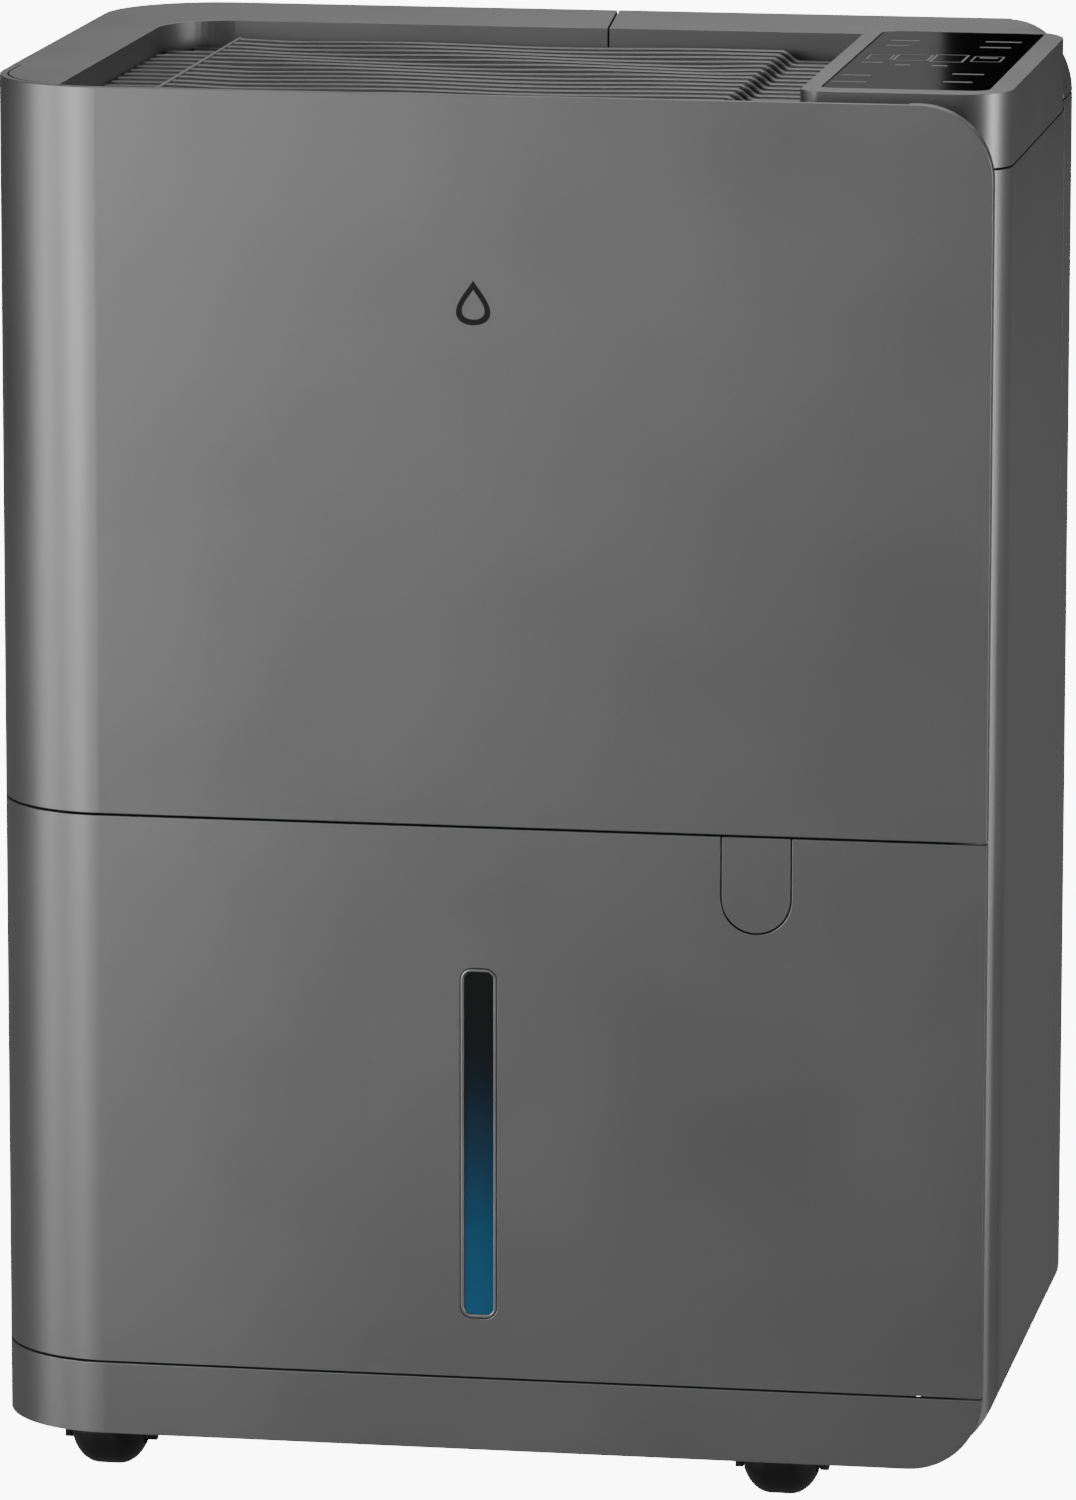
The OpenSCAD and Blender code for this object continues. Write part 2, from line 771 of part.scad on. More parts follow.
module scroll_outline(i) {
    translate([fan_x, fan_z]) circle(scroll_r - i);
    translate([fan_x - scroll_r + 6 + i, fan_z])
        square([2 * scroll_r - 12 - 2 * i, outlet_z - fan_z + (i > 0 ? 5 : 0)]);
}

module fan_scroll() color("#d7d8d6")
    difference() {
        union() {
            along_y(scroll_y0, scroll_y1) scroll_outline(0);
            box(tray_x0 - 2, tray_x1 - 3, tray_y0 + 6, tray_y1 - 1, outlet_z - 2.5, outlet_z);
        }
        along_y(scroll_y0 + scroll_t, scroll_y1 - scroll_t) scroll_outline(scroll_t);
        // eye of the fan at the back, and the opening for the motor's nose at the front
        rod_y(scroll_y1 - 5, scroll_y1 + 1, fan_x, fan_z, fan_d - 34);
        rod_y(scroll_y0 - 1, scroll_y0 + 5, fan_x, fan_z, 40);
        // the flange keeps clear of the front cover's round corner
        along_z(outlet_z - 3, outlet_z + 1)
            corner_cut(xl + wall + fit, yf + wall + fit, 1, 1, corner_r - wall - fit);
    }

fan_y0 = scroll_y0 + 9;
module fan_impeller() color("#e6e6e2") {
    hub_d = 30;
    difference() {
        union() {
            rod_y(fan_y0, fan_y0 + 2.5, fan_x, fan_z, fan_d - 4);
            rod_y(fan_y0, fan_y0 + 24, fan_x, fan_z, hub_d);
        }
        rod_y(fan_y0 - 1, fan_y0 + 30, fan_x, fan_z, shaft_d);
    }
    translate([fan_x, fan_y0, fan_z]) rotate([-90, 0, 0]) {
        translate([0, 0, fan_w - 3]) difference() {
            cylinder(h = 3, d = fan_d);
            translate([0, 0, -1]) cylinder(h = 5, d = fan_d - 22);
        }
        for (k = [0:fan_blades - 1])
            rotate(k * 360 / fan_blades) translate([fan_d / 2 - 10.5, 0, 1]) rotate(32)
                translate([-4, -0.8, 0]) cube([10.5, 1.6, fan_w - 3]);
    }
}

module motor_shaft() color("#b9bcc0") rod_y(scroll_y0 - 12, fan_y0 + 28, fan_x, fan_z, shaft_d);

module fan_motor() color("#9b9ea1")
    difference() {
        union() {
            rod_y(scroll_y0 - 42, scroll_y0 - 2, fan_x, fan_z, 92);
            rod_y(frame_y + frame_t, scroll_y0 - 40, fan_x, fan_z, 60);
            rod_y(scroll_y0 - 3, scroll_y0 + 3, fan_x, fan_z, 36);
            for (a = [45:90:315])
                translate([fan_x + lug_r * cos(a), 0, fan_z + lug_r * sin(a)])
                    rod_y(scroll_y0 - 6, scroll_y0, 0, 0, 12);
        }
        rod_y(scroll_y0 - 14, scroll_y0 + 4, fan_x, fan_z, shaft_d + 2 * running);
    }

// machine bay

module each_foot()
    for (sx = [-1, 1], sy = [-1, 1])
        translate([comp_x + sx * comp_foot, comp_y + sy * comp_foot, 0]) children();

module compressor() color("#1e1f20")
    difference() {
        compressor_body();
        for (y = [cond_y, evap_y])
            rod_x(comp_x, comp_x + comp_d, y - coil_t / 2, riser_z0, pipe_d + 2 * running);
    }

module compressor_body()
    translate([comp_x, comp_y, comp_z]) {
        difference() {
            translate([-foot_plate / 2, -foot_plate / 2, 0]) cube([foot_plate, foot_plate, 2.5]);
            for (sx = [-1, 1], sy = [-1, 1])
                translate([sx * comp_foot, sy * comp_foot, -1]) cylinder(h = 5, d = 6.4);
        }
        rotate_extrude() difference() {
            intersection() {
                translate([0, 1]) square([comp_d / 2, comp_h - 1]);
                union() {
                    translate([0, 1]) square([comp_d / 2, comp_h * 0.72]);
                    translate([0, comp_h - comp_d * 0.62]) circle(comp_d * 0.62);
                }
            }
            translate([-comp_d, 0]) square([comp_d, comp_h + 1]);
        }
        // terminal cover
        translate([-20, 10, comp_h - 14]) cube([34, 22, 24]);
    }

module compressor_feet() color("#0f0f0f")
    each_foot() difference() {
        union() {
            translate([0, 0, deck_z]) cylinder(h = foot_h, d = 20);
            translate([0, 0, comp_z + 2.5]) cylinder(h = 4, d = 16);
        }
        translate([0, 0, deck_z - 1]) cylinder(h = foot_h + 12, d = 6);
    }

module compressor_bolts() color("#a9acaf")
    each_foot() {
        translate([0, 0, deck_z]) cylinder(h = foot_h + 6.5, d = 5.8);
        translate([0, 0, comp_z + 6.5]) cylinder(h = 4, d = 11, $fn = 6);
    }

// a pipe leaves the compressor's side, rises through the shelf and turns back into its coil's lowest tube
module refrigerant_pipe(y) {
    z1 = tube_z(0);
    bend_x = riser_x - bend_r;
    rod_x(comp_x + 8, bend_x + 1, y, riser_z0, pipe_d);
    translate([bend_x, y, riser_z0 + bend_r]) rotate([90, 0, 0]) rotate([0, 0, -90])
        pipe_bend(pipe_d, bend_r, 90);
    rod_z(riser_z0 + bend_r - 1, z1 - bend_r + 1, riser_x, y, pipe_d);
    translate([bend_x, y, z1 - bend_r]) rotate([90, 0, 0]) pipe_bend(pipe_d, bend_r, 90);
}

module discharge_pipe() color(copper) refrigerant_pipe(cond_y - coil_t / 2);
module suction_pipe() color(copper) refrigerant_pipe(evap_y - coil_t / 2);

module filter_drier() color(copper) {
    x = -20;
    y = comp_y + 24;
    rod_z(deck_z + 40, deck_z + 130, x, y, 19);
    rod_z(deck_z, deck_z + 41, x, y, 6);
    rod_z(deck_z + 129, shelf_z, x, y, 4);
}

module run_capacitor() color("#c8cacb") {
    x = -70;
    y = comp_y + 10;
    rod_z(deck_z, deck_z + 78, x, y, 42);
    for (s = [-8, 8]) box(x + s - 2, x + s + 2, y - 1, y + 1, deck_z + 77, deck_z + 88);
}

// bucket

module flap_outline(i) {
    r = flap_w / 2 - i;
    translate([flap_x, flap_top - flap_h + flap_w / 2]) circle(r);
    translate([flap_x - r, flap_top - flap_h + flap_w / 2])
        square([2 * r, flap_h - flap_w / 2 + (i < 0 ? 2 : 0)]);
}

window_z = z_low + seam / 2 + window_lift;

module bucket_front() color(graphite)
    difference() {
        union() {
            front_shell(z_low + seam / 2, z_mid - seam / 2);
            seam_flange(z_low + seam / 2, z_low + seam / 2 + 6);
        }
        along_y(yf - 1, yf + wall + 2) pill(window_x, window_z - 0.1, bezel_w + 0.2, bezel_h + 0.2, 4.6);
        along_y(yf - 1, yf + wall + 2) flap_outline(-flap_gap);
    }

module window_bezel() color("#8b8b8b")
    along_y(yf, yf + wall + 0.8) difference() {
        pill(window_x, window_z, bezel_w, bezel_h, 4.5);
        pill(window_x, window_z + bezel_rim, bezel_w - 2 * bezel_rim, bezel_h - 2 * bezel_rim, 2.8);
    }

// what fits into the bezel
module pane_outline()
    pill(window_x, window_z + bezel_rim + 0.05, bezel_w - 2 * bezel_rim - 0.1,
        bezel_h - 2 * bezel_rim - 0.1, 2.7);

module window_lens() color("#10202c") along_y(yf + 0.7, yf + 2.4) pane_outline();

module gauge_strip() color("#1a6f9c") along_y(yf + 2.6, yf + 3.6) pane_outline();

module tank_plan(i)
    round_rect(tank_x0 + i, tank_y0 + i, tank_x1 - i, tank_y1 - i, tank_r - i, 14 - i, 14 - i, 14 - i);

module bucket_tank() color("#8fa0a8") {
    difference() {
        along_z(tank_z0, tank_z1) tank_plan(0);
        along_z(tank_z0 + tank_wall + 0.5, tank_z1 + 1) tank_plan(tank_wall);
    }
    // pads that the bucket's front is fixed to
    for (x = [xl + 70, inner_x - 40], z = [tank_z0 + 20, tank_z1 - 20])
        rod_y(yf + wall, tank_y0 + 1, x, z, 16);
}

module bucket_lid() color("#3c3f41")
    difference() {
        union() {
            along_z(tank_z1, lid_z) tank_plan(0);
            along_z(tank_z1 - 6, tank_z1 + 1) difference() {
                tank_plan(tank_wall + 0.3);
                tank_plan(tank_wall + 2.1);
            }
            for (s = [-1, 1]) translate([handle_x + s * handle_span / 2, 0, 0]) {
                box(-3, 3, handle_y - 6, handle_y + 6, lid_z - 1, handle_z);
                rod_x(-3, 3, handle_y, handle_z, 11.9);
            }
            // the float's guide, with its stop
            rod_z(float_z - 4, tank_z1 + 1, float_x, float_y, float_rod_d);
            rod_z(float_z - 4, float_z - 0.4, float_x, float_y, float_rod_d + 10);
        }
        rod_x(tank_x0, tank_x1, handle_y, handle_z, handle_pin_d + 2 * running);
        // funnel under the drip tray's spout, and the pouring corner
        round_opening(spout_x, spout_y, 52, 34);
        round_opening(pour_x, pour_y, 60, 40);
    }

module round_opening(x, y, w, d) along_z(tank_z1 - 8, lid_z + 1)
    round_rect(x - w / 2, y - d / 2, x + w / 2, y + d / 2, 8, 8, 8, 8);

module bucket_handle() color(charcoal)
    for (s = [-1, 1]) translate([handle_x, 0, 0]) mirror([s < 0 ? 1 : 0, 0, 0]) {
        x0 = handle_span / 2 + 3.4;
        box(x0, x0 + 5, handle_y - handle_len, handle_y, handle_z - 4, handle_z + 4);
        rod_x(x0, x0 + 5, handle_y, handle_z, 10);
        rod_x(x0 - 6, x0 + 1, handle_y, handle_z, handle_pin_d);
        rod_x(0, x0 + 5, handle_y - handle_len, handle_z, 9);
    }

module tank_float() color("#e9e3cf")
    difference() {
        rod_z(float_z, float_z + float_h, float_x, float_y, float_d);
        rod_z(float_z - 1, float_z + float_h + 1, float_x, float_y, float_rod_d + 2 * running);
        rod_z(float_z + float_h - 4, float_z + float_h + 1, float_x, float_y, 16);
    }

module float_magnet() color("#54575a")
    difference() {
        rod_z(float_z + float_h - 4, float_z + float_h - 0.2, float_x, float_y, 16);
        rod_z(float_z, float_z + float_h + 1, float_x, float_y, float_rod_d + 0.6);
    }

module level_switch() color(black) {
    box(float_x - 8.5, float_x + 8.5, bay_back + 0.5, bay_back + 9, switch_z + 0.5, switch_z + 21.5);
    box(float_x - 14, float_x + 14, bay_back + 3, bay_back + 6, switch_z + 4, switch_z + 18);
}

module pocket_cup() color(charcoal) {
    z0 = flap_top - flap_h - 1.5;
    difference() {
        box(pocket_x0 - pocket_wall, pocket_x1 + pocket_wall, yf + wall, yf + wall + pocket_d,
            z0 - pocket_wall, flap_top);
        box(pocket_x0, pocket_x1, yf, yf + wall + pocket_d - pocket_wall, z0, flap_top - pocket_wall);
        rod_x(pocket_x0 - 5, pocket_x1 + 5, flap_pin_y, flap_pin_z, flap_pin_d);
    }
}

module flap_pin() color("#b9bcc0")
    rod_x(pocket_x0 - pocket_wall, pocket_x1 + pocket_wall, flap_pin_y, flap_pin_z, flap_pin_d);

module finger_flap() color(graphite)
    difference() {
        union() {
            along_y(yf, yf + wall) flap_outline(0);
            for (s = [-1, 1]) translate([flap_x + s * 7.5, 0, 0]) {
                rod_x(-3.5, 3.5, flap_pin_y, flap_pin_z, 7);
                box(-3.5, 3.5, yf + wall / 2, flap_pin_y, flap_pin_z - 3, flap_pin_z + 3);
            }
        }
        rod_x(flap_x - 20, flap_x + 20, flap_pin_y, flap_pin_z, flap_pin_d + 2 * running);
    }

module flap_spring() color("#b9bcc0")
    difference() {
        rod_x(flap_x - 3.4, flap_x + 3.4, flap_pin_y, flap_pin_z, flap_pin_d + 2.6);
        rod_x(flap_x - 5, flap_x + 5, flap_pin_y, flap_pin_z, flap_pin_d + 0.3);
    }

// rear fittings

module drain_outlet() color(charcoal)
    difference() {
        union() {
            rod_y(yb - 26, yb, spigot_x, spigot_z, spigot_cup_d);
            rod_y(yb - 60, yb - 25, spigot_x, spigot_z, drain_bore_d + 5);
            // flange behind the rear cover
            rod_y(yb - wall - 3, yb - wall, spigot_x, spigot_z, spigot_cup_d + 4);
        }
        difference() {
            rod_y(yb - 23, yb + 1, spigot_x, spigot_z, spigot_cup_d - 5);
            rod_y(yb - 24, yb - 5, spigot_x, spigot_z, spigot_d);
        }
        rod_y(yb - 61, yb, spigot_x, spigot_z, drain_bore_d);
    }

module drain_cap() color("#0f0f0f") {
    rod_y(yb - 20, yb - 4.5, spigot_x, spigot_z, drain_bore_d - 2 * running);
    rod_y(yb - 4.7, yb - 1.5, spigot_x, spigot_z, spigot_d - 3);
}

module cord_gland() color(black)
    difference() {
        union() {
            rod_y(yb - 14, yb, gland_x, gland_z, gland_sleeve_d);
            rod_y(yb - 8, yb - wall, gland_x, gland_z, gland_sleeve_d + 6);
        }
        rod_y(yb - 15, yb + 1, gland_x, gland_z, gland_bore_d);
    }

// casters

// the wheel stands outwards of its swivel, so side is -1 at the front and 1 at the rear
module caster_fork(x, side) color(black)
    translate([x, side * stem_y, 0]) mirror([0, side > 0 ? 1 : 0, 0]) {
        translate([0, -trail / 2, fork_top - 2.6]) cylinder(h = 2.6, d = 2 * ear_x + 8);
        for (s = [0, 1]) mirror([s, 0, 0]) intersection() {
            union() {
                rod_x(ear_x, ear_x + 3, -trail, axle_z, 13);
                box(ear_x, ear_x + 3, -trail - 6, -trail + 8, axle_z, fork_top - 0.5);
            }
            translate([0, -trail / 2, 0]) cylinder(h = fork_top, d = 2 * ear_x + 8);
        }
        translate([0, 0, fork_top - 1]) cylinder(h = deck_z - 2.5 - fork_top, d = stem_d);
        rod_x(-ear_x - 1.5, ear_x + 1.5, -trail, axle_z, axle_d);
    }

module caster_wheel(x, side) color("#1a1a1a")
    translate([x, side * (stem_y + trail), axle_z]) rotate([0, 90, 0])
        rotate_extrude() difference() {
            intersection() {
                circle(wheel_d / 2);
                translate([axle_d / 2 + running, -wheel_w / 2])
                    square([(wheel_d - axle_d) / 2 - running, wheel_w]);
            }
            // groove beside the hub on each face
            for (s = [-1, 1]) translate([axle_d / 2 + 2.2, s * wheel_w / 2 - 1.5]) square([1.6, 3]);
        }

front_cover();
bucket_front();
base_skirt();
side_panel_left();
side_panel_right();
rear_cover();
rim_left();
rim_right();
control_housing();
control_glass();
control_board();
outlet_grille();
front_frame();
base_pan();
partition();
drip_tray();
intake_grille();
filter_frame();
filter_mesh();
evaporator_fins();
evaporator_tubes();
condenser_fins();
condenser_tubes();
compressor();
compressor_feet();
compressor_bolts();
discharge_pipe();
suction_pipe();
filter_drier();
run_capacitor();
fan_scroll();
fan_impeller();
fan_motor();
motor_shaft();
bucket_tank();
bucket_lid();
bucket_handle();
tank_float();
float_magnet();
level_switch();
window_bezel();
window_lens();
gauge_strip();
finger_flap();
flap_pin();
flap_spring();
pocket_cup();
drain_outlet();
drain_cap();
cord_gland();
rear_screws();
caster_fork(-caster_left, -1);  // caster_fork_fl
caster_fork(caster_right, -1);  // caster_fork_fr
caster_fork(-caster_left, 1);  // caster_fork_rl
caster_fork(caster_right, 1);  // caster_fork_rr
caster_wheel(-caster_left, -1);  // caster_wheel_fl
caster_wheel(caster_right, -1);  // caster_wheel_fr
caster_wheel(-caster_left, 1);  // caster_wheel_rl
caster_wheel(caster_right, 1);  // caster_wheel_rr
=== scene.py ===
import math

import bmesh
import bpy
import numpy as np
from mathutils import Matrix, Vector


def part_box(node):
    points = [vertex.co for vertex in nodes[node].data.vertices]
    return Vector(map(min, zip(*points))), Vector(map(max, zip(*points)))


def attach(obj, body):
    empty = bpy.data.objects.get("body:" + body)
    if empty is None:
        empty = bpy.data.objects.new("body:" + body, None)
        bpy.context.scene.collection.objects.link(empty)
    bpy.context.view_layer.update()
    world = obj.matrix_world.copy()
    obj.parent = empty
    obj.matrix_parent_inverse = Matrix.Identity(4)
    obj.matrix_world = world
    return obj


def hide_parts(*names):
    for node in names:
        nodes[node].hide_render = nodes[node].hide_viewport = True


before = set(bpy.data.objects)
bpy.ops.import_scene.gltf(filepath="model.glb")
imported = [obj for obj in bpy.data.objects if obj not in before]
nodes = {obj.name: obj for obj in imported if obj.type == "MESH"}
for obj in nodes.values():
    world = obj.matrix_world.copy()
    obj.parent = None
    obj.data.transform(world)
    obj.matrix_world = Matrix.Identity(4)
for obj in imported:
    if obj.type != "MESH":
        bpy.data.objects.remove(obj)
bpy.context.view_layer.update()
print("frame loaded:", len(nodes), "nodes")

# camera: place in metres, angles in degrees, lens in millimetres
cameraPlace = dict(x=0.6239, y=-3.7122, z=0.9990, turn=9.592, down=11.007, roll=-0.061, lens=236.6,
                   sensor=36, reach=60)
camera = bpy.data.objects.new("camera", bpy.data.cameras.new("camera"))
bpy.context.scene.collection.objects.link(camera)
camera.data.lens = cameraPlace["lens"]
camera.data.sensor_width = cameraPlace["sensor"]
camera.data.sensor_fit = "AUTO"
camera.data.clip_end = cameraPlace["reach"]
camera.location = (cameraPlace["x"], cameraPlace["y"], cameraPlace["z"])
camera.rotation_euler = (math.radians(90 - cameraPlace["down"]), math.radians(cameraPlace["roll"]),
                         math.radians(cameraPlace["turn"]))
bpy.context.scene.camera = camera


def linear(hexColour):
    # sRGB to linear: divided by 12.92 in the toe, and a power of 2.4 above it
    channels = [int(hexColour[i:i + 2], 16) / 255 for i in (1, 3, 5)]
    return [c / 12.92 if c <= 0.04045 else ((c + 0.055) / 1.055) ** 2.4 for c in channels] + [1.0]


def mm(value):
    return value / 1000


def perMm(size):
    return 1000 / size  # texture scale for a pattern of that many millimetres


def addNode(tree, kind, settings=None, links=None):
    # capitals and numbers are sockets, the rest are the node's own settings
    node = tree.nodes.new(kind)
    for key, value in (settings or {}).items():
        if isinstance(key, int) or key[0].isupper():
            node.inputs[key].default_value = value
        else:
            setattr(node, key, value)
    for key, source in (links or {}).items():
        tree.links.new(source, node.inputs[key])
    return node


def ramp(tree, source, stops, ease="LINEAR"):
    node = addNode(tree, "ShaderNodeValToRGB", links={"Fac": source})
    node.color_ramp.interpolation = ease
    while len(node.color_ramp.elements) < len(stops):
        node.color_ramp.elements.new(0.5)
    for element, (place, colour) in zip(node.color_ramp.elements, stops):
        element.position = place
        element.color = colour
    return node.outputs["Color"]


def shaded(hexColour, share):
    return [c * share for c in linear(hexColour)[:3]] + [1.0]


def moulded(name, colour, metallic=0.0, roughness=0.45, grain=0.5, depth=0.012, tone=0.06, cloud=70, sheen=0.04,
            extra=None):
    # one recipe for moulded, cast and coated surfaces: a slow change of tone, a fine grain in colour and gloss,
    # and the same grain as relief; grain and cloud are in millimetres, depth is the relief in millimetres
    material = bpy.data.materials.new(name)
    material.use_nodes = True
    tree = material.node_tree
    tree.nodes.clear()
    place = addNode(tree, "ShaderNodeTexCoord").outputs["Object"]
    slow = addNode(tree, "ShaderNodeTexNoise", {"Scale": perMm(cloud), "Detail": 2.0, "Roughness": 0.5},
                   {"Vector": place}).outputs["Fac"]
    fine = addNode(tree, "ShaderNodeTexNoise", {"Scale": perMm(grain), "Detail": 2.0, "Roughness": 0.6},
                   {"Vector": place}).outputs["Fac"]
    both = addNode(tree, "ShaderNodeMath", {"operation": "ADD"}, {0: slow, 1: fine}).outputs[0]
    half = addNode(tree, "ShaderNodeMath", {"operation": "MULTIPLY", 1: 0.5}, {0: both}).outputs[0]
    hue = ramp(tree, half, [(0.35, shaded(colour, 1 - tone)), (0.65, shaded(colour, 1 + tone))])
    gloss = addNode(tree, "ShaderNodeMapRange", {"From Min": 0.3, "From Max": 0.7, "To Min": roughness - sheen,
                                                 "To Max": roughness + sheen}, {"Value": half}).outputs[0]
    relief = addNode(tree, "ShaderNodeBump", {"Strength": 1.0, "Distance": mm(depth)},
                     {"Height": fine}).outputs["Normal"]
    shader = addNode(tree, "ShaderNodeBsdfPrincipled", {"Metallic": metallic, **(extra or {})},
                     {"Base Color": hue, "Roughness": gloss, "Normal": relief})
    addNode(tree, "ShaderNodeOutputMaterial", links={"Surface": shader.outputs[0]})
    return material, tree, shader, place


# graphite ABS with metal flake moulded in, textured tool: a soft wide highlight and a faint sparkle;
# the flakes are about 0.05 mm and drawn at 0.45 mm so that they show
graphiteAbs = moulded("graphiteMetallicAbs", "#747475", metallic=0.8, roughness=0.42, grain=0.45, depth=0.006,
                      tone=0.05, cloud=90)[0]
# ABS bars with painted shade and a painted highlight: the flanks are painted near black as shade and the crests pale
# grey as a highlight, so thin pale lines over black flanks
barPaintedShadeAbs, barPaintedShadeTree, barPaintedShadeShader = moulded("barsPaintedShadeAndHighlight", "#777778", metallic=0.5, roughness=0.36, grain=0.5,
                                     depth=0.004, tone=0.04)[:3]
litCrest = addNode(barPaintedShadeTree, "ShaderNodeAttribute", {"attribute_name": "litCrest"}).outputs["Fac"]
# painted shade and highlight: near black where the attribute is 0 on the flanks, pale grey where it is 1 on the
# crests
barPaintedShadeTree.links.new(ramp(barPaintedShadeTree, litCrest, [(0.62, linear("#040404")), (0.97, linear("#8a8a8b"))]),
                  barPaintedShadeShader.inputs["Base Color"])
barPaintedShadeTree.links.new(ramp(barPaintedShadeTree, litCrest, [(0.35, linear("#000000")), (0.7, linear("#bcbcbc"))]),
                  barPaintedShadeShader.inputs["Metallic"])
# black ABS, spark-eroded tool: dark, matt, with grain of 0.6 mm that breaks up the highlight
blackAbs = moulded("sparkTexturedBlackAbs", "#1d1e1e", roughness=0.55, grain=0.6, depth=0.03, tone=0.1)[0]
# toughened glass printed black behind: almost no colour, a clear sharp reflection with slight waviness
blackGlass = moulded("backPrintedBlackGlass", "#050505", roughness=0.09, grain=30, depth=0.004, tone=0.1, cloud=80,
                     sheen=0.015, extra={"IOR": 1.5, "Specular IOR Level": 0.55})[0]
# screen-printed ink under the glass: flat mid grey
greyInk = moulded("screenPrintedGreyInk", "#6f6f6f", roughness=0.6, grain=0.4, depth=0.001, tone=0.08)[0]
# pad-printed ink on the front: flat black
blackInk = moulded("padPrintedBlackInk", "#020202", roughness=0.8, grain=0.4, depth=0.001, tone=0.1)[0]
# satin-plated ABS trim: lighter than the casing and a little sharper
trimPlating = moulded("satinPlatedTrim", "#8d8d8e", metallic=0.85, roughness=0.34, grain=0.4, depth=0.003,
                      tone=0.04)[0]
# glass-filled nylon, black: matt, coarse grain with paler fibre ends
casterNylon = moulded("glassFilledBlackNylon", "#101010", roughness=0.5, grain=0.7, depth=0.03, tone=0.2)[0]
# polyurethane tyre: black with a dull even sheen and fine scuffs
casterTyre = moulded("blackPolyurethaneTyre", "#121212", roughness=0.42, grain=1.2, depth=0.02, tone=0.25)[0]
# soft black rubber, moulded: very matt
blackRubber = moulded("mouldedBlackRubber", "#0d0d0d", roughness=0.75, grain=0.8, depth=0.03, tone=0.15)[0]
# drawn copper tube: warm metal, with the darker and redder patches that handling leaves
copperTube = moulded("drawnCopperTube", "#c47a4e", metallic=1.0, roughness=0.3, grain=4, depth=0.01, tone=0.18,
                     cloud=12)[0]
# zinc-plated mild steel: pale cool metal with a spangle of about 3 mm
zincSteel = moulded("zincPlatedSteel", "#a7abb0", metallic=1.0, roughness=0.34, grain=3, depth=0.004, tone=0.12,
                    cloud=15)[0]
# stove-enamelled black steel: smooth with orange peel of about 2 mm
stovedBlack = moulded("stoveEnamelledBlackSteel", "#141515", roughness=0.28, grain=2.2, depth=0.02, tone=0.12,
                      extra={"Coat Weight": 0.4, "Coat Roughness": 0.12})[0]
# off-white polypropylene, as moulded: waxy, slightly translucent
creamPolypropylene = moulded("creamPolypropylene", "#d9d7cd", roughness=0.42, grain=1.5, depth=0.01, tone=0.05,
                             extra={"Subsurface Weight": 0.08})[0]
# natural polypropylene tinted smoke for the tank: light comes through its wall
smokeTank = moulded("smokePolypropyleneTank", "#6f7f86", roughness=0.25, grain=5, depth=0.01, tone=0.06,
                    extra={"Transmission Weight": 0.55, "IOR": 1.49})[0]
# closed-cell foam of the float: cream with cells of about 1 mm
closedFoam = moulded("closedCellFoam", "#e6dfc9", roughness=0.8, grain=1.0, depth=0.12, tone=0.1)[0]
# epoxy-glass circuit board with green resist: glossy film over a fine weave
circuitBoard = moulded("greenResistBoard", "#1d4a30", roughness=0.3, grain=0.9, depth=0.01, tone=0.25)[0]
# ferrite magnet: sintered, dark grey, dull
ferrite = moulded("sinteredFerrite", "#3b3d40", metallic=0.3, roughness=0.6, grain=0.6, depth=0.02, tone=0.12)[0]


bandUnit = math.pi / 10  # spacing of the wave texture's bands at a scale of 1
finSpacing = 1.8
threadSpacing = 1.2


def stripedFins():
    # aluminium fin stock on edge: fins every 1.8 mm, so light lines with dark gaps painted as shade between them, and
    # a slight bend here and there
    material, tree, shader, place = moulded("corrugatedAluminiumFins", "#c3c8cc", metallic=1.0, roughness=0.35,
                                            grain=6, depth=0.01, tone=0.1)
    wave = addNode(tree, "ShaderNodeTexWave", {"wave_type": "BANDS", "bands_direction": "X",
                                               "Scale": perMm(finSpacing) * bandUnit, "Distortion": 0.6,
                                               "Detail": 1.0, "Detail Scale": 0.4}, {"Vector": place})
    # painted shade: the dark stop colours the gaps between the fins as the shade in them
    dark = ramp(tree, wave.outputs["Fac"], [(0.25, linear("#1b1d1f")), (0.6, linear("#c9ced2"))])
    tree.links.new(dark, shader.inputs["Base Color"])
    bump = addNode(tree, "ShaderNodeBump", {"Strength": 1.0, "Distance": mm(0.8)},
                   {"Height": wave.outputs["Fac"]}).outputs["Normal"]
    tree.links.new(bump, shader.inputs["Normal"])
    return material


def wovenNet():
    # nylon filter net: threads every 1.2 mm both ways, dark, with the gaps between them painted darker still as the
    # shade seen through them
    material, tree, shader, place = moulded("wovenNylonNet", "#3b3f43", roughness=0.6, grain=0.8, depth=0.02,
                                            tone=0.1)
    bands = [addNode(tree, "ShaderNodeTexWave",
                     {"wave_type": "BANDS", "bands_direction": way, "Scale": perMm(threadSpacing) * bandUnit},
                     {"Vector": place}).outputs["Fac"]
             for way in ("X", "Z")]
    high = addNode(tree, "ShaderNodeMath", {"operation": "MAXIMUM"}, {0: bands[0], 1: bands[1]}).outputs[0]
    # painted shade: the darker stop colours the gaps between the threads as the shade behind the net
    tree.links.new(ramp(tree, high, [(0.55, linear("#0b0c0d")), (0.8, linear("#54595e"))]),
                   shader.inputs["Base Color"])
    bump = addNode(tree, "ShaderNodeBump", {"Strength": 1.0, "Distance": mm(0.4)}, {"Height": high})
    tree.links.new(bump.outputs["Normal"], shader.inputs["Normal"])
    return material


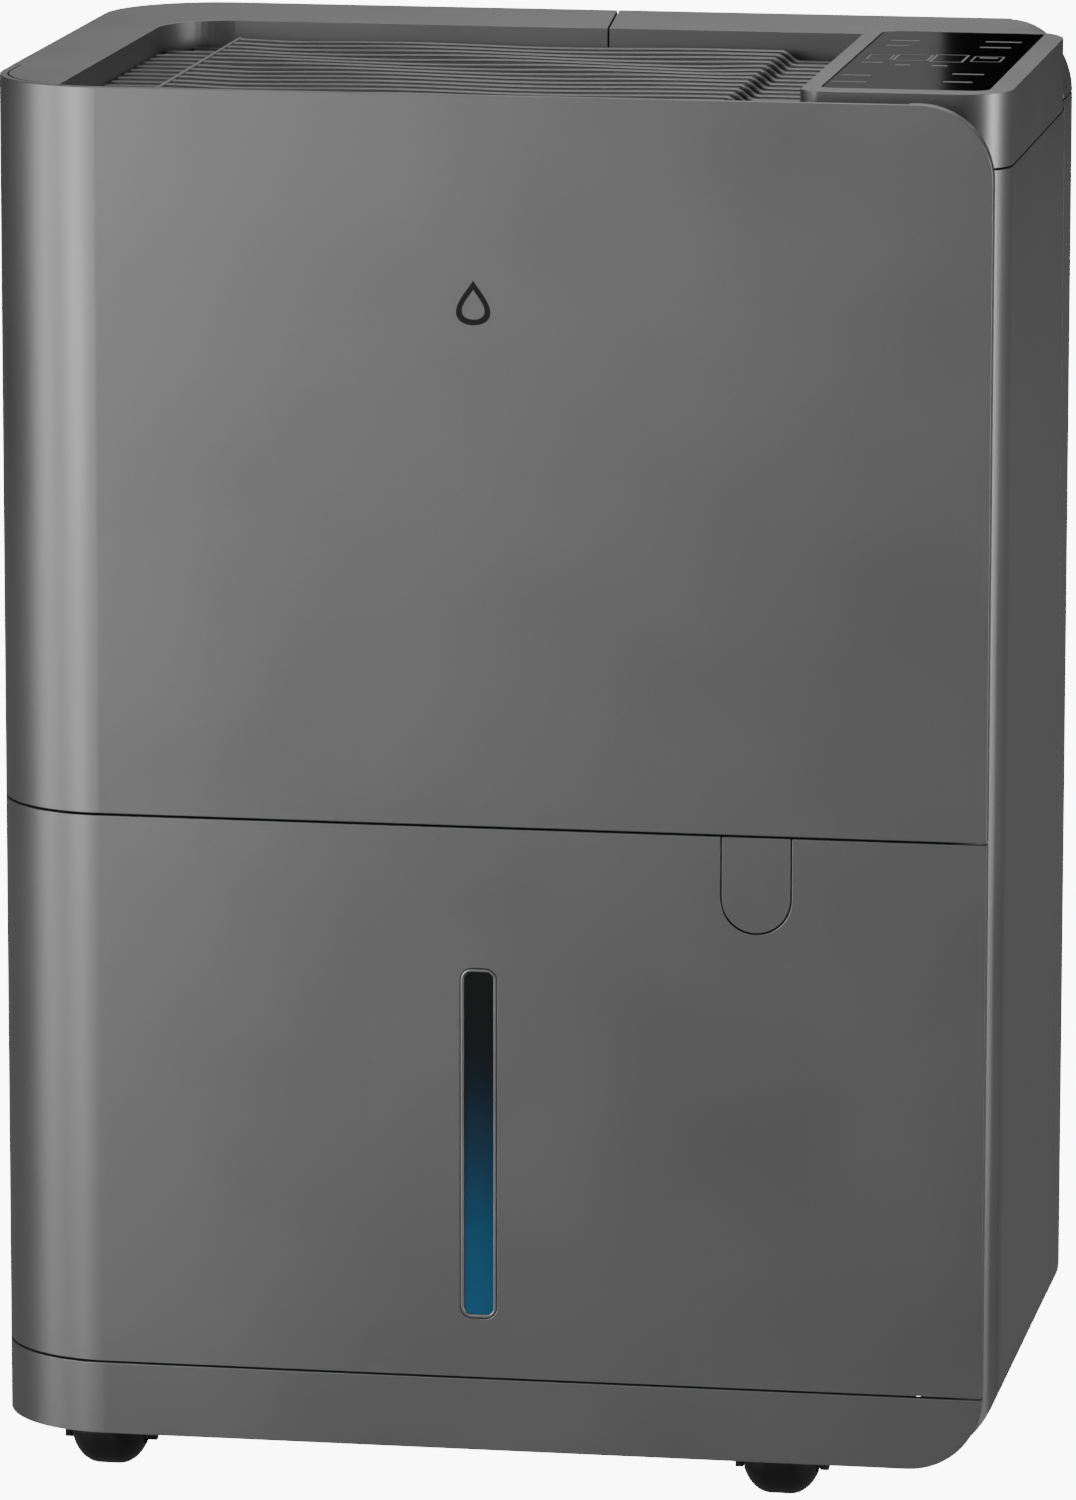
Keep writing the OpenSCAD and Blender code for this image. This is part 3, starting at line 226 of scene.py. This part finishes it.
def tintedLens(low, high):
    # clear acrylic over a lit strip: black at the top, running through deep blue to a clear blue at the bottom
    material, tree, shader, place = moulded("tintedAcrylicLens", "#10202c", roughness=0.12, grain=25,
                                            depth=0.002, tone=0.02, sheen=0.02)
    height = addNode(tree, "ShaderNodeSeparateXYZ", links={0: place}).outputs["Z"]
    share = addNode(tree, "ShaderNodeMapRange", {"From Min": low, "From Max": high}, {"Value": height}).outputs[0]
    stops = [(0.0, linear("#1c4a68")), (0.22, linear("#18435f")), (0.45, linear("#122f43")),
             (0.66, linear("#0d1b26")), (0.78, linear("#101213")), (1.0, linear("#111212"))]
    hue = ramp(tree, share, stops)
    tree.links.new(hue, shader.inputs["Base Color"])
    tree.links.new(hue, shader.inputs["Emission Color"])
    shader.inputs["Emission Strength"].default_value = 0.35
    return material


finStock = stripedFins()
filterNet = wovenNet()
lensLow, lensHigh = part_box("window_lens")
lensAcrylic = tintedLens(lensLow[2], lensHigh[2])
print("materials made")


def placed(name, mesh, body, material, stands=(), smooth=32):
    # a finished piece: sharp edges kept above an angle, one material, riding on its body
    mesh.validate()
    mesh.shade_smooth()
    mesh.set_sharp_from_angle(angle=math.radians(smooth))
    mesh.materials.clear()
    mesh.materials.append(material)
    piece = bpy.data.objects.new(name, mesh)
    bpy.context.scene.collection.objects.link(piece)
    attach(piece, body)
    if stands:
        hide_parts(*stands)
    return piece


def surface(name, points, body, material, stands=(), ring=True, closed=False, capped=True, smooth=32):
    # points is (shells, rows, columns, 3). Rows are sections and columns run round each section; every cell of
    # the grid becomes one quad, ring joins the last column to the first, closed joins the last row to the first,
    # and capped closes both ends of an open shell with one face each
    points = np.asarray(points, float)
    shells, rows, columns = points.shape[:3]
    index = np.arange(shells * rows * columns).reshape(shells, rows, columns)
    here = index if closed else index[:, :-1]
    there = np.roll(index, -1, 1) if closed else index[:, 1:]
    if ring:
        quads = np.stack([here, np.roll(here, -1, 2), np.roll(there, -1, 2), there], -1)
    else:
        quads = np.stack([here[..., :-1], here[..., 1:], there[..., 1:], there[..., :-1]], -1)
    faces = quads.reshape(-1, 4).tolist()
    if capped and ring and not closed:
        faces += index[:, 0, ::-1].tolist() + index[:, -1].tolist()
    mesh = bpy.data.meshes.new(name)
    mesh.from_pydata(points.reshape(-1, 3).tolist(), [], faces)
    work = bmesh.new()
    work.from_mesh(mesh)
    bmesh.ops.recalc_face_normals(work, faces=work.faces)
    work.to_mesh(mesh)
    work.free()
    return placed(name, mesh, body, material, stands, smooth)


def roundLoop(steps):
    # turning angle of each point round a rounded rectangle, and which corner it belongs to
    turn = np.concatenate([np.linspace(k, k + 1, steps) for k in range(4)]) * math.pi / 2
    return turn, np.repeat([1, -1, -1, 1], steps), np.repeat([1, 1, -1, -1], steps)


def blocks(lows, highs, along, radius, chamfer, steps=4):
    # each block is a rounded rectangle carried along one axis; its first and last sections are drawn in
    lows, highs = np.atleast_2d(np.array(lows, float)), np.atleast_2d(np.array(highs, float))
    first, second = [i for i in range(3) if i != along]
    turn, signA, signB = roundLoop(steps)
    inset = np.array([chamfer, 0, 0, chamfer])[None, :, None]
    half = (highs - lows) / 2
    middle = (highs + lows) / 2
    reach = np.stack([-half[:, along], -half[:, along] + chamfer, half[:, along] - chamfer, half[:, along]], 1)
    points = np.empty((len(lows), 4, turn.size, 3))
    points[..., along] = (middle[:, along, None] + reach)[..., None]
    points[..., first] = (middle[:, first, None, None] + signA * (half[:, first, None, None] - inset - radius)
                          + radius * np.cos(turn))
    points[..., second] = (middle[:, second, None, None] + signB * (half[:, second, None, None] - inset - radius)
                           + radius * np.sin(turn))
    return points


def revolved(profile, centre, axis, steps=64):
    # a profile of (distance along the axis, radius) turned round that axis
    profile = np.asarray(profile, float)
    turn = np.linspace(0, 2 * math.pi, steps, endpoint=False)
    others = [(axis + 1) % 3, (axis + 2) % 3]
    points = np.empty((1, len(profile), steps, 3))
    points[0, :, :, axis] = centre[axis] + profile[:, :1]
    points[0, :, :, others[0]] = centre[others[0]] + profile[:, 1:] * np.cos(turn)
    points[0, :, :, others[1]] = centre[others[1]] + profile[:, 1:] * np.sin(turn)
    return points


def softened(node, body, material, width=0.35, segments=2, angle=32, sink=0.0):
    # the CAD piece with its doubled points merged, its flat areas made single faces and its edges rounded;
    # sink draws the foremost face back by that much, to leave room for print on it
    mesh = nodes[node].data.copy()
    work = bmesh.new()
    work.from_mesh(mesh)
    bmesh.ops.remove_doubles(work, verts=work.verts, dist=mm(0.004))
    bmesh.ops.dissolve_limit(work, angle_limit=math.radians(0.5), verts=work.verts, edges=work.edges)
    work.to_mesh(mesh)
    work.free()
    if sink:
        flat = np.empty(len(mesh.vertices) * 3)
        mesh.vertices.foreach_get("co", flat)
        flat = flat.reshape(-1, 3)
        flat[:, 1] = np.maximum(flat[:, 1], flat[:, 1].min() + mm(sink))
        mesh.vertices.foreach_set("co", flat.ravel())
    piece = placed(node.replace("_", " ").title().replace(" ", "") + "Skin", mesh, body, material, (node,),
                  smooth=angle)
    if width:
        edge = piece.modifiers.new("edges", "BEVEL")
        edge.width = mm(width)
        edge.segments = segments
        edge.limit_method = "ANGLE"
        edge.angle_limit = math.radians(angle)
        edge.harden_normals = True
        edge.use_clamp_overlap = True
    return piece


# node: (material slot, material, edge radius in mm, and how far its foremost face is drawn back in mm)
skins = {
    "casing": {
        "front_cover": ("graphite_shell", graphiteAbs, 0.9, 0.06),
        "base_skirt": ("graphite_shell", graphiteAbs, 0.9),
        "side_panel_left": ("graphite_shell", graphiteAbs, 0.5),
        "side_panel_right": ("graphite_shell", graphiteAbs, 0.5),
        "rear_cover": ("graphite_shell", graphiteAbs, 0.5),
        "rim_left": ("graphite_shell", graphiteAbs, 0.8),
        "rim_right": ("graphite_shell", graphiteAbs, 0.8),
        "control_housing": ("graphite_shell", graphiteAbs, 1.0),
        "control_glass": ("panel_glass", blackGlass, 0.4),
        "control_board": ("circuit_board", circuitBoard, 0.1),
        "front_frame": ("dark_plastic", blackAbs, 0.4),
        "base_pan": ("dark_plastic", blackAbs, 0.5),
        "partition": ("dark_plastic", blackAbs, 0.3),
        "drip_tray": ("dark_plastic", blackAbs, 0.3),
        "evaporator_fins": ("coil_aluminium", finStock, 0.2),
        "evaporator_tubes": ("copper_tube", copperTube, 0),
        "condenser_fins": ("coil_aluminium", finStock, 0.2),
        "condenser_tubes": ("copper_tube", copperTube, 0),
        "compressor": ("black_steel", stovedBlack, 0.8),
        "compressor_feet": ("rubber_black", blackRubber, 0.8),
        "compressor_bolts": ("plain_steel", zincSteel, 0.4),
        "discharge_pipe": ("copper_tube", copperTube, 0),
        "suction_pipe": ("copper_tube", copperTube, 0),
        "filter_drier": ("copper_tube", copperTube, 0.8),
        "run_capacitor": ("plain_steel", zincSteel, 0.6),
        "fan_scroll": ("dark_plastic", blackAbs, 0.5),
        "fan_motor": ("plain_steel", zincSteel, 1.0),
        "level_switch": ("dark_plastic", blackAbs, 0.4),
        "drain_outlet": ("dark_plastic", blackAbs, 0.6),
        "cord_gland": ("dark_plastic", blackAbs, 0.5),
        "rear_screws": ("plain_steel", zincSteel, 0.2),
    },
    "bucket": {
        "bucket_front": ("graphite_shell", graphiteAbs, 0.7),
        "bucket_tank": ("tank_plastic", smokeTank, 0.5),
        "bucket_lid": ("dark_plastic", blackAbs, 0.5),
        "window_bezel": ("bezel_trim", trimPlating, 0.45),
        "window_lens": ("lens_clear", lensAcrylic, 0.25),
        "gauge_strip": ("gauge_light", lensAcrylic, 0.1),
        "flap_pin": ("plain_steel", zincSteel, 0.3),
        "pocket_cup": ("dark_plastic", blackAbs, 0.4),
    },
    "handle": {"bucket_handle": ("dark_plastic", blackAbs, 0.8)},
    "float": {"tank_float": ("float_foam", closedFoam, 1.2), "float_magnet": ("plain_steel", ferrite, 0.3)},
    "flap": {"finger_flap": ("graphite_shell", graphiteAbs, 0.4)},
    "fan": {"motor_shaft": ("plain_steel", zincSteel, 0.4)},
    "intake": {
        "intake_grille": ("dark_plastic", blackAbs, 0.5),
        "filter_frame": ("dark_plastic", blackAbs, 0.4),
        "filter_mesh": ("filter_net", filterNet, 0.1),
    },
    "cap": {"drain_cap": ("rubber_black", blackRubber, 0.6)},
}
for body, pieces in skins.items():
    for node, (slotName, material, width, *sink) in pieces.items():
        softened(node, body, material, width, sink=sink[0] if sink else 0.0)
for corner in ("fl", "fr", "rl", "rr"):
    softened("caster_fork_" + corner, "caster_" + corner, casterNylon, 0.5)
print("casing and inner pieces rounded")


grilleShape = dict(pitch=12.0, width=7.5, crown=1.9, step=4.0, ribAt=28.0, dropAt=31.0, dropRun=7.0, waveHeight=0.8,
                   waveLength=118.0, waveDrift=0.62, waveSway=0.9, swayStep=0.55, fadeRun=25.0, fadePast=4.0,
                   bodyHeight=8.0, tops=530.0, frontCorner=41.5, backCorner=27.5, leftInset=3.5, footInset=0.6,
                   leftPoints=6, ribPoints=90, dropPoints=20)


def outletBars(g):
    # each bar is a flat-topped section with rounded shoulders carried along X; its top is the base height, plus a
    # smooth step up behind the rib, plus the step down at the right, plus a sine along the bar whose phase drifts
    # from bar to bar and fades out at both ends
    low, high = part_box("outlet_grille")
    x0, x1 = low[0], high[0]
    depth = (high[1] - low[1]) * 1000
    count = int((depth - g["width"]) // g["pitch"]) + 1
    middle = (low[1] + high[1]) / 2
    y = middle + mm(g["pitch"]) * (np.arange(count) - (count - 1) / 2)
    # the rounded corners at both ends of the tray move the bars' left ends in
    rF, rB = mm(g["frontCorner"]), mm(g["backCorner"])
    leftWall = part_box("front_cover")[0][0] + mm(g["leftInset"])
    front = np.clip((low[1] + rF) - (y - mm(g["width"] / 2)), 0, rF)
    back = np.clip((y + mm(g["width"] / 2)) - (high[1] - rB), 0, rB)
    start = np.maximum(leftWall + rF - np.sqrt(rF ** 2 - front ** 2), x0 + rB - np.sqrt(rB ** 2 - back ** 2))
    start = np.maximum(start, x0)
    rib, drop = x0 + mm(g["ribAt"]), x1 - mm(g["dropAt"])
    # places along a bar: left end to rib, rib to drop, drop to right end
    share = np.concatenate([np.linspace(0, 1, g["leftPoints"]), 1 + np.linspace(0.0004, 1, g["ribPoints"]),
                            2 + np.linspace(0.02, 1, g["dropPoints"])])
    knots = np.stack([start, np.full(count, rib), np.full(count, drop), np.full(count, x1)], 1)
    whole = np.minimum(share.astype(int), 2)
    x = knots[:, whole] + (knots[:, whole + 1] - knots[:, whole]) * (share - whole)
    fall = np.clip((x - drop) / mm(g["dropRun"]), 0, 1)
    smooth = fall * fall * (3 - 2 * fall)
    raised = (x > rib + mm(0.01)) * (1 - smooth)
    fadeRun = mm(g["fadeRun"])
    fade = np.clip((x - rib) / fadeRun, 0, 1) * np.clip((drop + mm(g["fadePast"]) - x) / fadeRun, 0, 1)
    sway = g["waveSway"] * np.sin(g["swayStep"] * np.arange(count))[:, None]
    phase = g["waveDrift"] * np.arange(count)[:, None] + sway
    wave = mm(g["waveHeight"]) * fade * (np.sin(2 * math.pi * (x - rib) / mm(g["waveLength"]) + phase) - 1) / 2
    top = mm(g["tops"]) + mm(g["step"]) * raised + wave
    w, c, foot = mm(g["width"] / 2), mm(g["crown"]), mm(g["tops"] - g["bodyHeight"])
    narrow = w - mm(g["footInset"])
    across = np.array([-narrow, -w, -w + 0.4 * c, -w + c, w - c, w - 0.4 * c, w, narrow])
    down = np.array([0, 0.8 * c, 0.2 * c, 0, 0, 0.2 * c, 0.8 * c, 0])
    points = np.empty(x.shape + (8, 3))
    points[..., 0] = x[..., None]
    points[..., 1] = y[:, None, None] + across
    points[..., 2] = top[..., None] - down
    points[..., [0, 7], 2] = foot
    return points, y


barPoints, barY = outletBars(grilleShape)
bars = surface("OutletBars", barPoints, "casing", barPaintedShadeAbs, ("outlet_grille",), smooth=50)
# one value for each point round a bar's section, saying where highlight and shade are painted: 1 on the crest for the
# painted highlight, 0 on the flanks for the painted shade
litCrestProfile = [0.0, 0.0, 0.2, 0.7, 1.0, 1.0, 0.0, 0.0]
litCrestValues = np.tile(litCrestProfile, len(bars.data.vertices) // len(litCrestProfile))
bars.data.attributes.new("litCrest", "FLOAT", "POINT").data.foreach_set("value", litCrestValues)


carrierShape = dict(leftRail=3.5, middleRails=(-60.0, 30.0), wide=3.0, deep=3.0, lap=1.5, endGap=0.6,
                    leftFront=30.0, leftBack=28.0, footFront=8.0, leftFootFront=36.0, footBack=40.0, footDeep=6.0,
                    footTop=2.8, ribBefore=0.8, ribAfter=1.0, ribPast=3.7, ribDeep=3.0, ribRise=0.3, radius=0.5,
                    chamfer=0.4)


def grilleCarriers(g, c):
    # rails under the bars and their feet, then the thin cross rib that the bars rise from
    low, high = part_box("outlet_grille")
    foot, wide = mm(g["tops"] - g["bodyHeight"]), mm(c["wide"])
    rails = [low[0] + mm(c["leftRail"]), *(mm(x) for x in c["middleRails"]), high[0] - wide]
    yStart, yEnd = low[1] + mm(c["endGap"]), high[1] - mm(c["endGap"])
    lows = [(x, yStart, foot - mm(c["deep"])) for x in rails]
    highs = [(x + wide, yEnd, foot + mm(c["lap"])) for x in rails]
    # the left rail stops short of the tray's rounded corners
    lows[0] = (rails[0], yStart + mm(c["leftFront"]), foot - mm(c["deep"]))
    highs[0] = (rails[0] + wide, yEnd - mm(c["leftBack"]), foot + mm(c["lap"]))
    for x in rails:
        inFront = c["leftFootFront"] if x == rails[0] else c["footFront"]
        for y in (low[1] + mm(inFront), high[1] - mm(c["footBack"])):
            lows.append((x, y, low[2]))
            highs.append((x + wide, y + mm(c["footDeep"]), foot - mm(c["footTop"])))
    ribLow = (low[0] + mm(g["ribAt"] - c["ribBefore"]), barY[0] - mm(c["ribPast"]), mm(g["tops"] - c["ribDeep"]))
    ribHigh = (low[0] + mm(g["ribAt"] + c["ribAfter"]), barY[-1] + mm(c["ribPast"]),
               mm(g["tops"] + g["step"] + c["ribRise"]))
    edges = mm(c["radius"]), mm(c["chamfer"])
    return blocks(lows, highs, 1, *edges), blocks(ribLow, ribHigh, 1, *edges)


railPoints, ribPoints = grilleCarriers(grilleShape, carrierShape)
surface("GrilleCarriers", railPoints, "casing", blackAbs, smooth=40)
# the rib's pale plated finish is partly a painted highlight: it stands in for the bright line along the bars'
# shoulders
surface("CrossRib", ribPoints, "casing", trimPlating, smooth=40)
print("outlet grille made:", len(barY), "bars")


# millimetres from the glass's front left corner: nearBars, farBars and endBars are (x, y, width, depth), keys are
# (x, width, depth, line) of the outlines on the row across the panel
panelPrint = dict(
    lift=0.02, thick=0.05, radius=0.3, chamfer=0.01, row=97,
    nearBars=((12, 150, 11, 2.2), (11, 134, 9, 2.2), (8, 40, 11, 2.2), (8, 20, 13, 2.2)),
    farBars=((50, 152, 14, 2.6), (49, 134, 12, 2.6), (49, 50, 12, 2.6), (48, 26, 11, 2.6)),
    keys=((22, 13, 18, 0.9), (36, 12, 22, 0.9), (9.5, 9, 14, 0.7), (50.5, 11, 16, 0.7)),
    keyBars=((21, 74, 6, 2.6), (35, 74, 6, 2.6), (8.5, 80, 8, 2.4), (50.5, 101, 7, 3)))


def panelMarks(p):
    # flat strokes laid on the glass: four outlined keys in a row across the panel, a bar by each, and pairs of
    # short bars towards the four corners; every stroke is a rounded block
    low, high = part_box("control_glass")
    strokes = []

    def bar(x, y, wide, deep):
        strokes.append((x - wide / 2, y - deep / 2, x + wide / 2, y + deep / 2))

    for place in p["nearBars"] + p["farBars"]:
        bar(*place)
    for (x, wide, deep, line), keyBar in zip(p["keys"], p["keyBars"]):
        for side in (-1, 1):
            bar(x, p["row"] + side * deep / 2, wide, line)
        for side in (-1, 1):
            bar(x + side * wide / 2, p["row"], line, deep)
        bar(*keyBar)
    marks = np.array(strokes)
    lows = np.column_stack([low[0] + mm(marks[:, 0]), low[1] + mm(marks[:, 1]),
                            np.full(len(marks), high[2] + mm(p["lift"]))])
    highs = np.column_stack([low[0] + mm(marks[:, 2]), low[1] + mm(marks[:, 3]),
                             np.full(len(marks), high[2] + mm(p["lift"] + p["thick"]))])
    return blocks(lows, highs, 2, mm(p["radius"]), mm(p["chamfer"]), 3)


surface("PanelMarks", panelMarks(panelPrint), "casing", greyInk)


frontMark = dict(x=-4.0, z=462.5, height=17.0, width=12.0, line=1.8, thick=0.055, drop=0.12, taper=0.75,
                 fullness=1.3, lineShare=2.2, points=72)


def dropMark(m):
    # a drop's outline: round below, drawn out to a point above. The half width at angle t from the bottom is
    # sin(t) times a power of the cosine of half the angle, and the line is the band between two such outlines
    turn = np.linspace(0, 2 * math.pi, m["points"], endpoint=False)
    wide = np.sin(turn) * (0.5 * (1 + np.cos(turn))) ** m["taper"]
    tall = -np.cos(turn)
    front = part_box("front_cover")[0][1]
    inside = 1 - m["lineShare"] * m["line"] / m["width"]
    rows = []
    for scale, y in ((1, m["thick"]), (1, 0.0), (inside, 0.0), (inside, m["thick"])):
        rows.append(np.column_stack([mm(m["x"]) + mm(m["width"] / m["fullness"]) * wide * scale,
                                     np.full(turn.size, front + mm(y)),
                                     mm(m["z"]) + mm(m["height"] / 2) * tall * scale
                                     - mm(m["drop"] * m["height"]) * (1 - scale)]))
    return np.array(rows)[None]


surface("FrontMark", dropMark(frontMark), "casing", blackInk, closed=True)
print("print made")


wheelShape = dict(tread=7.0, hubRadius=6.0, boreRadius=2.05, groove=1.1, lip=0.9, edge=0.4, fineEdge=0.3,
                  hubBack=0.2, sidePoints=12, steps=56)


def casterWheel(corner, w):
    # a ball with a flat tread: the radius falls from the tread along a circle to each face, which is dished
    # round the hub; the profile returns through the bore, so the ends meet
    low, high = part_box("caster_wheel_" + corner)
    centre = [(a + b) / 2 for a, b in zip(low, high)]
    half, radius = (high[0] - low[0]) / 2, (high[2] - low[2]) / 2
    side, flat = np.linspace(0, 1, w["sidePoints"]), mm(w["tread"] / 2)
    shoulder = flat + (half - flat) * side
    ball = np.sqrt(np.clip(radius ** 2 - (shoulder - flat * (1 - side)) ** 2, 0, None))
    outer = np.column_stack([shoulder, np.minimum(ball, radius)])
    hub, bore, groove = mm(w["hubRadius"]), mm(w["boreRadius"]), mm(w["groove"])
    edge, fine = mm(w["edge"]), mm(w["fineEdge"])
    face = [(half - groove, outer[-1, 1] - mm(w["lip"])), (half - groove, hub + edge), (half - mm(w["hubBack"]), hub),
            (half, hub - edge), (half, bore + fine), (half - fine, bore)]
    right = np.concatenate([outer, face])
    profile = np.concatenate([right[::-1] * [-1, 1], right])
    surface("CasterWheel" + corner.upper(), revolved(profile, centre, 0, w["steps"]), "wheel_" + corner,
            casterTyre, ("caster_wheel_" + corner,), closed=True)


for corner in ("fl", "fr", "rl", "rr"):
    casterWheel(corner, wheelShape)
print("casters made")


fanShape = dict(blades=42, chord=11.0, camber=2.6, thick=1.5, lean=34.0, bladeIn=6.6, frontGap=1.2, backGap=1.5,
                ringIn=11.0, ringThick=3.0, rimGap=0.05, edge=0.5, diskIn=2.0, diskThick=2.5, hub=15.0,
                hubLength=24.0, bore=4.0, boreGap=0.02, flare=5.0, flareIn=1.5, flareOut=1.2, flareEnd=4.0,
                beadFrom=40.0, beadTo=52.0, beadSlope=2.0, beadRise=1.2, steps=96)


def fanWheel(f):
    # forward-curved blades between the back disk and the ring: each blade's line is a chord set at an angle to the
    # radius, bent by a parabola of the camber's height, with half the thickness on either side; then turned round
    # the shaft once for each blade
    low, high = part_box("fan_impeller")
    centre = [(a + b) / 2 for a, b in zip(low, high)]
    radius = (high[0] - low[0]) / 2
    along = np.linspace(-0.5, 0.5, 9)
    bend = mm(f["camber"]) * (1 - 4 * along ** 2)
    half = mm(f["thick"] / 2) * np.sqrt(np.clip(1 - 3.2 * along ** 2, 0.05, 1))
    chord = np.concatenate([along, along[::-1]]) * mm(f["chord"])
    rise = np.concatenate([bend + half, (bend - half)[::-1]])
    lean = math.radians(f["lean"])
    out = radius - mm(f["bladeIn"]) + chord * math.cos(lean) - rise * math.sin(lean)
    side = chord * math.sin(lean) + rise * math.cos(lean)
    turn = np.linspace(0, 2 * math.pi, f["blades"], endpoint=False)[:, None, None]
    depth = np.array([low[1] + mm(f["frontGap"]), high[1] - mm(f["backGap"])])[None, :, None]
    blades = np.empty((f["blades"], 2, out.size, 3))
    blades[..., 0] = centre[0] + out * np.cos(turn) - side * np.sin(turn)
    blades[..., 1] = depth
    blades[..., 2] = centre[2] + out * np.sin(turn) + side * np.cos(turn)
    surface("FanBlades", blades, "fan", creamPolypropylene, ("fan_impeller",))
    # ring round the intake side; its closed profile is turned round the shaft
    inner, e, start = radius - mm(f["ringIn"]), mm(f["edge"]), [centre[0], low[1], centre[2]]
    deep, ringThick, rim = high[1] - low[1], mm(f["ringThick"]), radius - mm(f["rimGap"])
    ring = [(deep - ringThick, inner + e), (deep - ringThick + e, inner), (deep - e, inner), (deep, inner + e),
            (deep, radius - e), (deep - e, rim), (deep - ringThick + e, rim), (deep - ringThick, radius - e)]
    surface("FanRing", revolved(ring, start, 1, f["steps"]), "fan", creamPolypropylene, closed=True)
    # back disk with a raised bead, and the hub that flares into it
    disk, hub, long = mm(f["diskThick"]), mm(f["hub"]), mm(f["hubLength"])
    bore, web, bead = mm(f["bore"]) + mm(f["boreGap"]), radius - mm(f["diskIn"]), disk + mm(f["beadRise"])
    profile = [(e, web - e), (0, web - 2 * e), (0, bore + e), (e, bore), (long - e, bore), (long, bore + e),
               (long, hub - 2 * e), (long - 2 * e, hub), (disk + mm(f["flare"]), hub),
               (disk + mm(f["flareIn"]), hub + mm(f["flareOut"])), (disk, hub + mm(f["flareEnd"])),
               (disk, mm(f["beadFrom"])), (bead, mm(f["beadFrom"] + f["beadSlope"])),
               (bead, mm(f["beadTo"] - f["beadSlope"])), (disk, mm(f["beadTo"])), (disk, web - 2 * e),
               (disk - e, web - e)]
    surface("FanDisk", revolved(profile, start, 1, f["steps"]), "fan", creamPolypropylene, closed=True)


fanWheel(fanShape)


springShape = dict(wireRadius=0.42, clearance=0.05, turns=6.5, pointsPerTurn=28, endShare=1.4, sectionPoints=10)


def woundSpring(w):
    # torsion spring: a round wire section carried along a helix whose radius and pitch fill the CAD sleeve's box
    low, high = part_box("flap_spring")
    centre = [(a + b) / 2 for a, b in zip(low, high)]
    wire = mm(w["wireRadius"])
    coilRadius = (high[2] - low[2]) / 2 - wire - mm(w["clearance"])
    step = np.linspace(0, 1, int(w["turns"] * w["pointsPerTurn"]))[:, None]
    around = np.linspace(0, 2 * math.pi, w["sectionPoints"], endpoint=False)
    spin = 2 * math.pi * w["turns"] * step
    reach = coilRadius + wire * np.cos(around)
    points = np.empty((1, len(step), around.size, 3))
    end = w["endShare"] * wire
    points[0, ..., 0] = low[0] + end + (high[0] - low[0] - 2 * end) * step + wire * np.sin(around)
    points[0, ..., 1] = centre[1] + reach * np.cos(spin)
    points[0, ..., 2] = centre[2] + reach * np.sin(spin)
    surface("FlapSpringWire", points, "flap", zincSteel, ("flap_spring",), smooth=60)


woundSpring(springShape)
print("fan wheel and spring made")


studio = dict(floor=30.0, floorTone="#f2f2f2", floorGlow=9.5, world=0.18)
half = studio["floor"] / 2
floorMesh = bpy.data.meshes.new("studioFloor")
floorMesh.from_pydata([(-half, -half, 0), (half, -half, 0), (half, half, 0), (-half, half, 0)], [], [(0, 1, 2, 3)])
floor = bpy.data.objects.new("studioFloor", floorMesh)
bpy.context.scene.collection.objects.link(floor)
# the floor is overlit, as on a light table, and keeps out of the object's reflections
floorMesh.materials.append(moulded("paintedStudioFloor", studio["floorTone"], roughness=0.85, grain=3, depth=0.01,
                                   tone=0.004, cloud=900,
                                   extra={"Specular IOR Level": 0.1, "Emission Color": linear("#ffffff"),
                                          "Emission Strength": studio["floorGlow"]})[0])
floor.visible_glossy = False
floor.visible_diffuse = False

# black cards out of the camera's sight; the one behind darkens the touch panel's right half
# name: (low corner, high corner)
cards = {
    "cardBehind": ((-0.1, 2.0, 0.25), (2.2, 2.01, 1.9)),
    "cardLeft": ((-1.9, 0.5, 0.0), (-1.89, 2.6, 1.8)),
}
cardCloth = moulded("blackCardCloth", "#030303", roughness=0.9, grain=2, depth=0.05, tone=0.2,
                    extra={"Specular IOR Level": 0.1})[0]
for name, (low, high) in cards.items():
    cardMesh = bpy.data.meshes.new(name)
    x, y, z = zip(low, high)
    corners = [(x[i], y[j], z[k]) for k in (0, 1) for j in (0, 1) for i in (0, 1)]
    cardMesh.from_pydata(corners, [], [(0, 2, 3, 1), (4, 5, 7, 6), (0, 1, 5, 4), (2, 6, 7, 3), (0, 4, 6, 2),
                                       (1, 3, 7, 5)])
    cardMesh.materials.append(cardCloth)
    card = bpy.data.objects.new(name, cardMesh)
    bpy.context.scene.collection.objects.link(card)
    card.visible_camera = False
    card.visible_shadow = False

world = bpy.data.worlds.new("studio")
bpy.context.scene.world = world
world.use_nodes = True
world.node_tree.nodes["Background"].inputs["Color"].default_value = linear("#ffffff")
world.node_tree.nodes["Background"].inputs["Strength"].default_value = studio["world"]

# name: place, point lit, size, power
softboxes = {
    "keyLeft": ((-1.4, -2.25, 0.6), (-0.15, 0, 0.33), (0.7, 1.5), 44),
    "stripLeft": ((-2.3, -1.1, 0.55), (-0.19, -0.1, 0.3), (0.7, 1.9), 26),
    "stripRight": ((2.2, -0.5, 0.6), (0.19, -0.1, 0.35), (0.3, 1.3), 34),
    "topBack": ((0.2, 2.4, 2.6), (0, 0, 0.5), (1.8, 0.8), 30),
    "topStrip": ((0.0, -0.35, 2.4), (0, -0.1, 0.5), (1.8, 0.25), 12),
}
for name, (spot, target, size, power) in softboxes.items():
    light = bpy.data.lights.new(name, "AREA")
    light.shape = "RECTANGLE"
    light.size, light.size_y = size
    light.energy = power
    lamp = bpy.data.objects.new(name, light)
    bpy.context.scene.collection.objects.link(lamp)
    lamp.location = spot
    lamp.rotation_euler = (Vector(target) - Vector(spot)).to_track_quat("-Z", "Y").to_euler()
print("studio set")
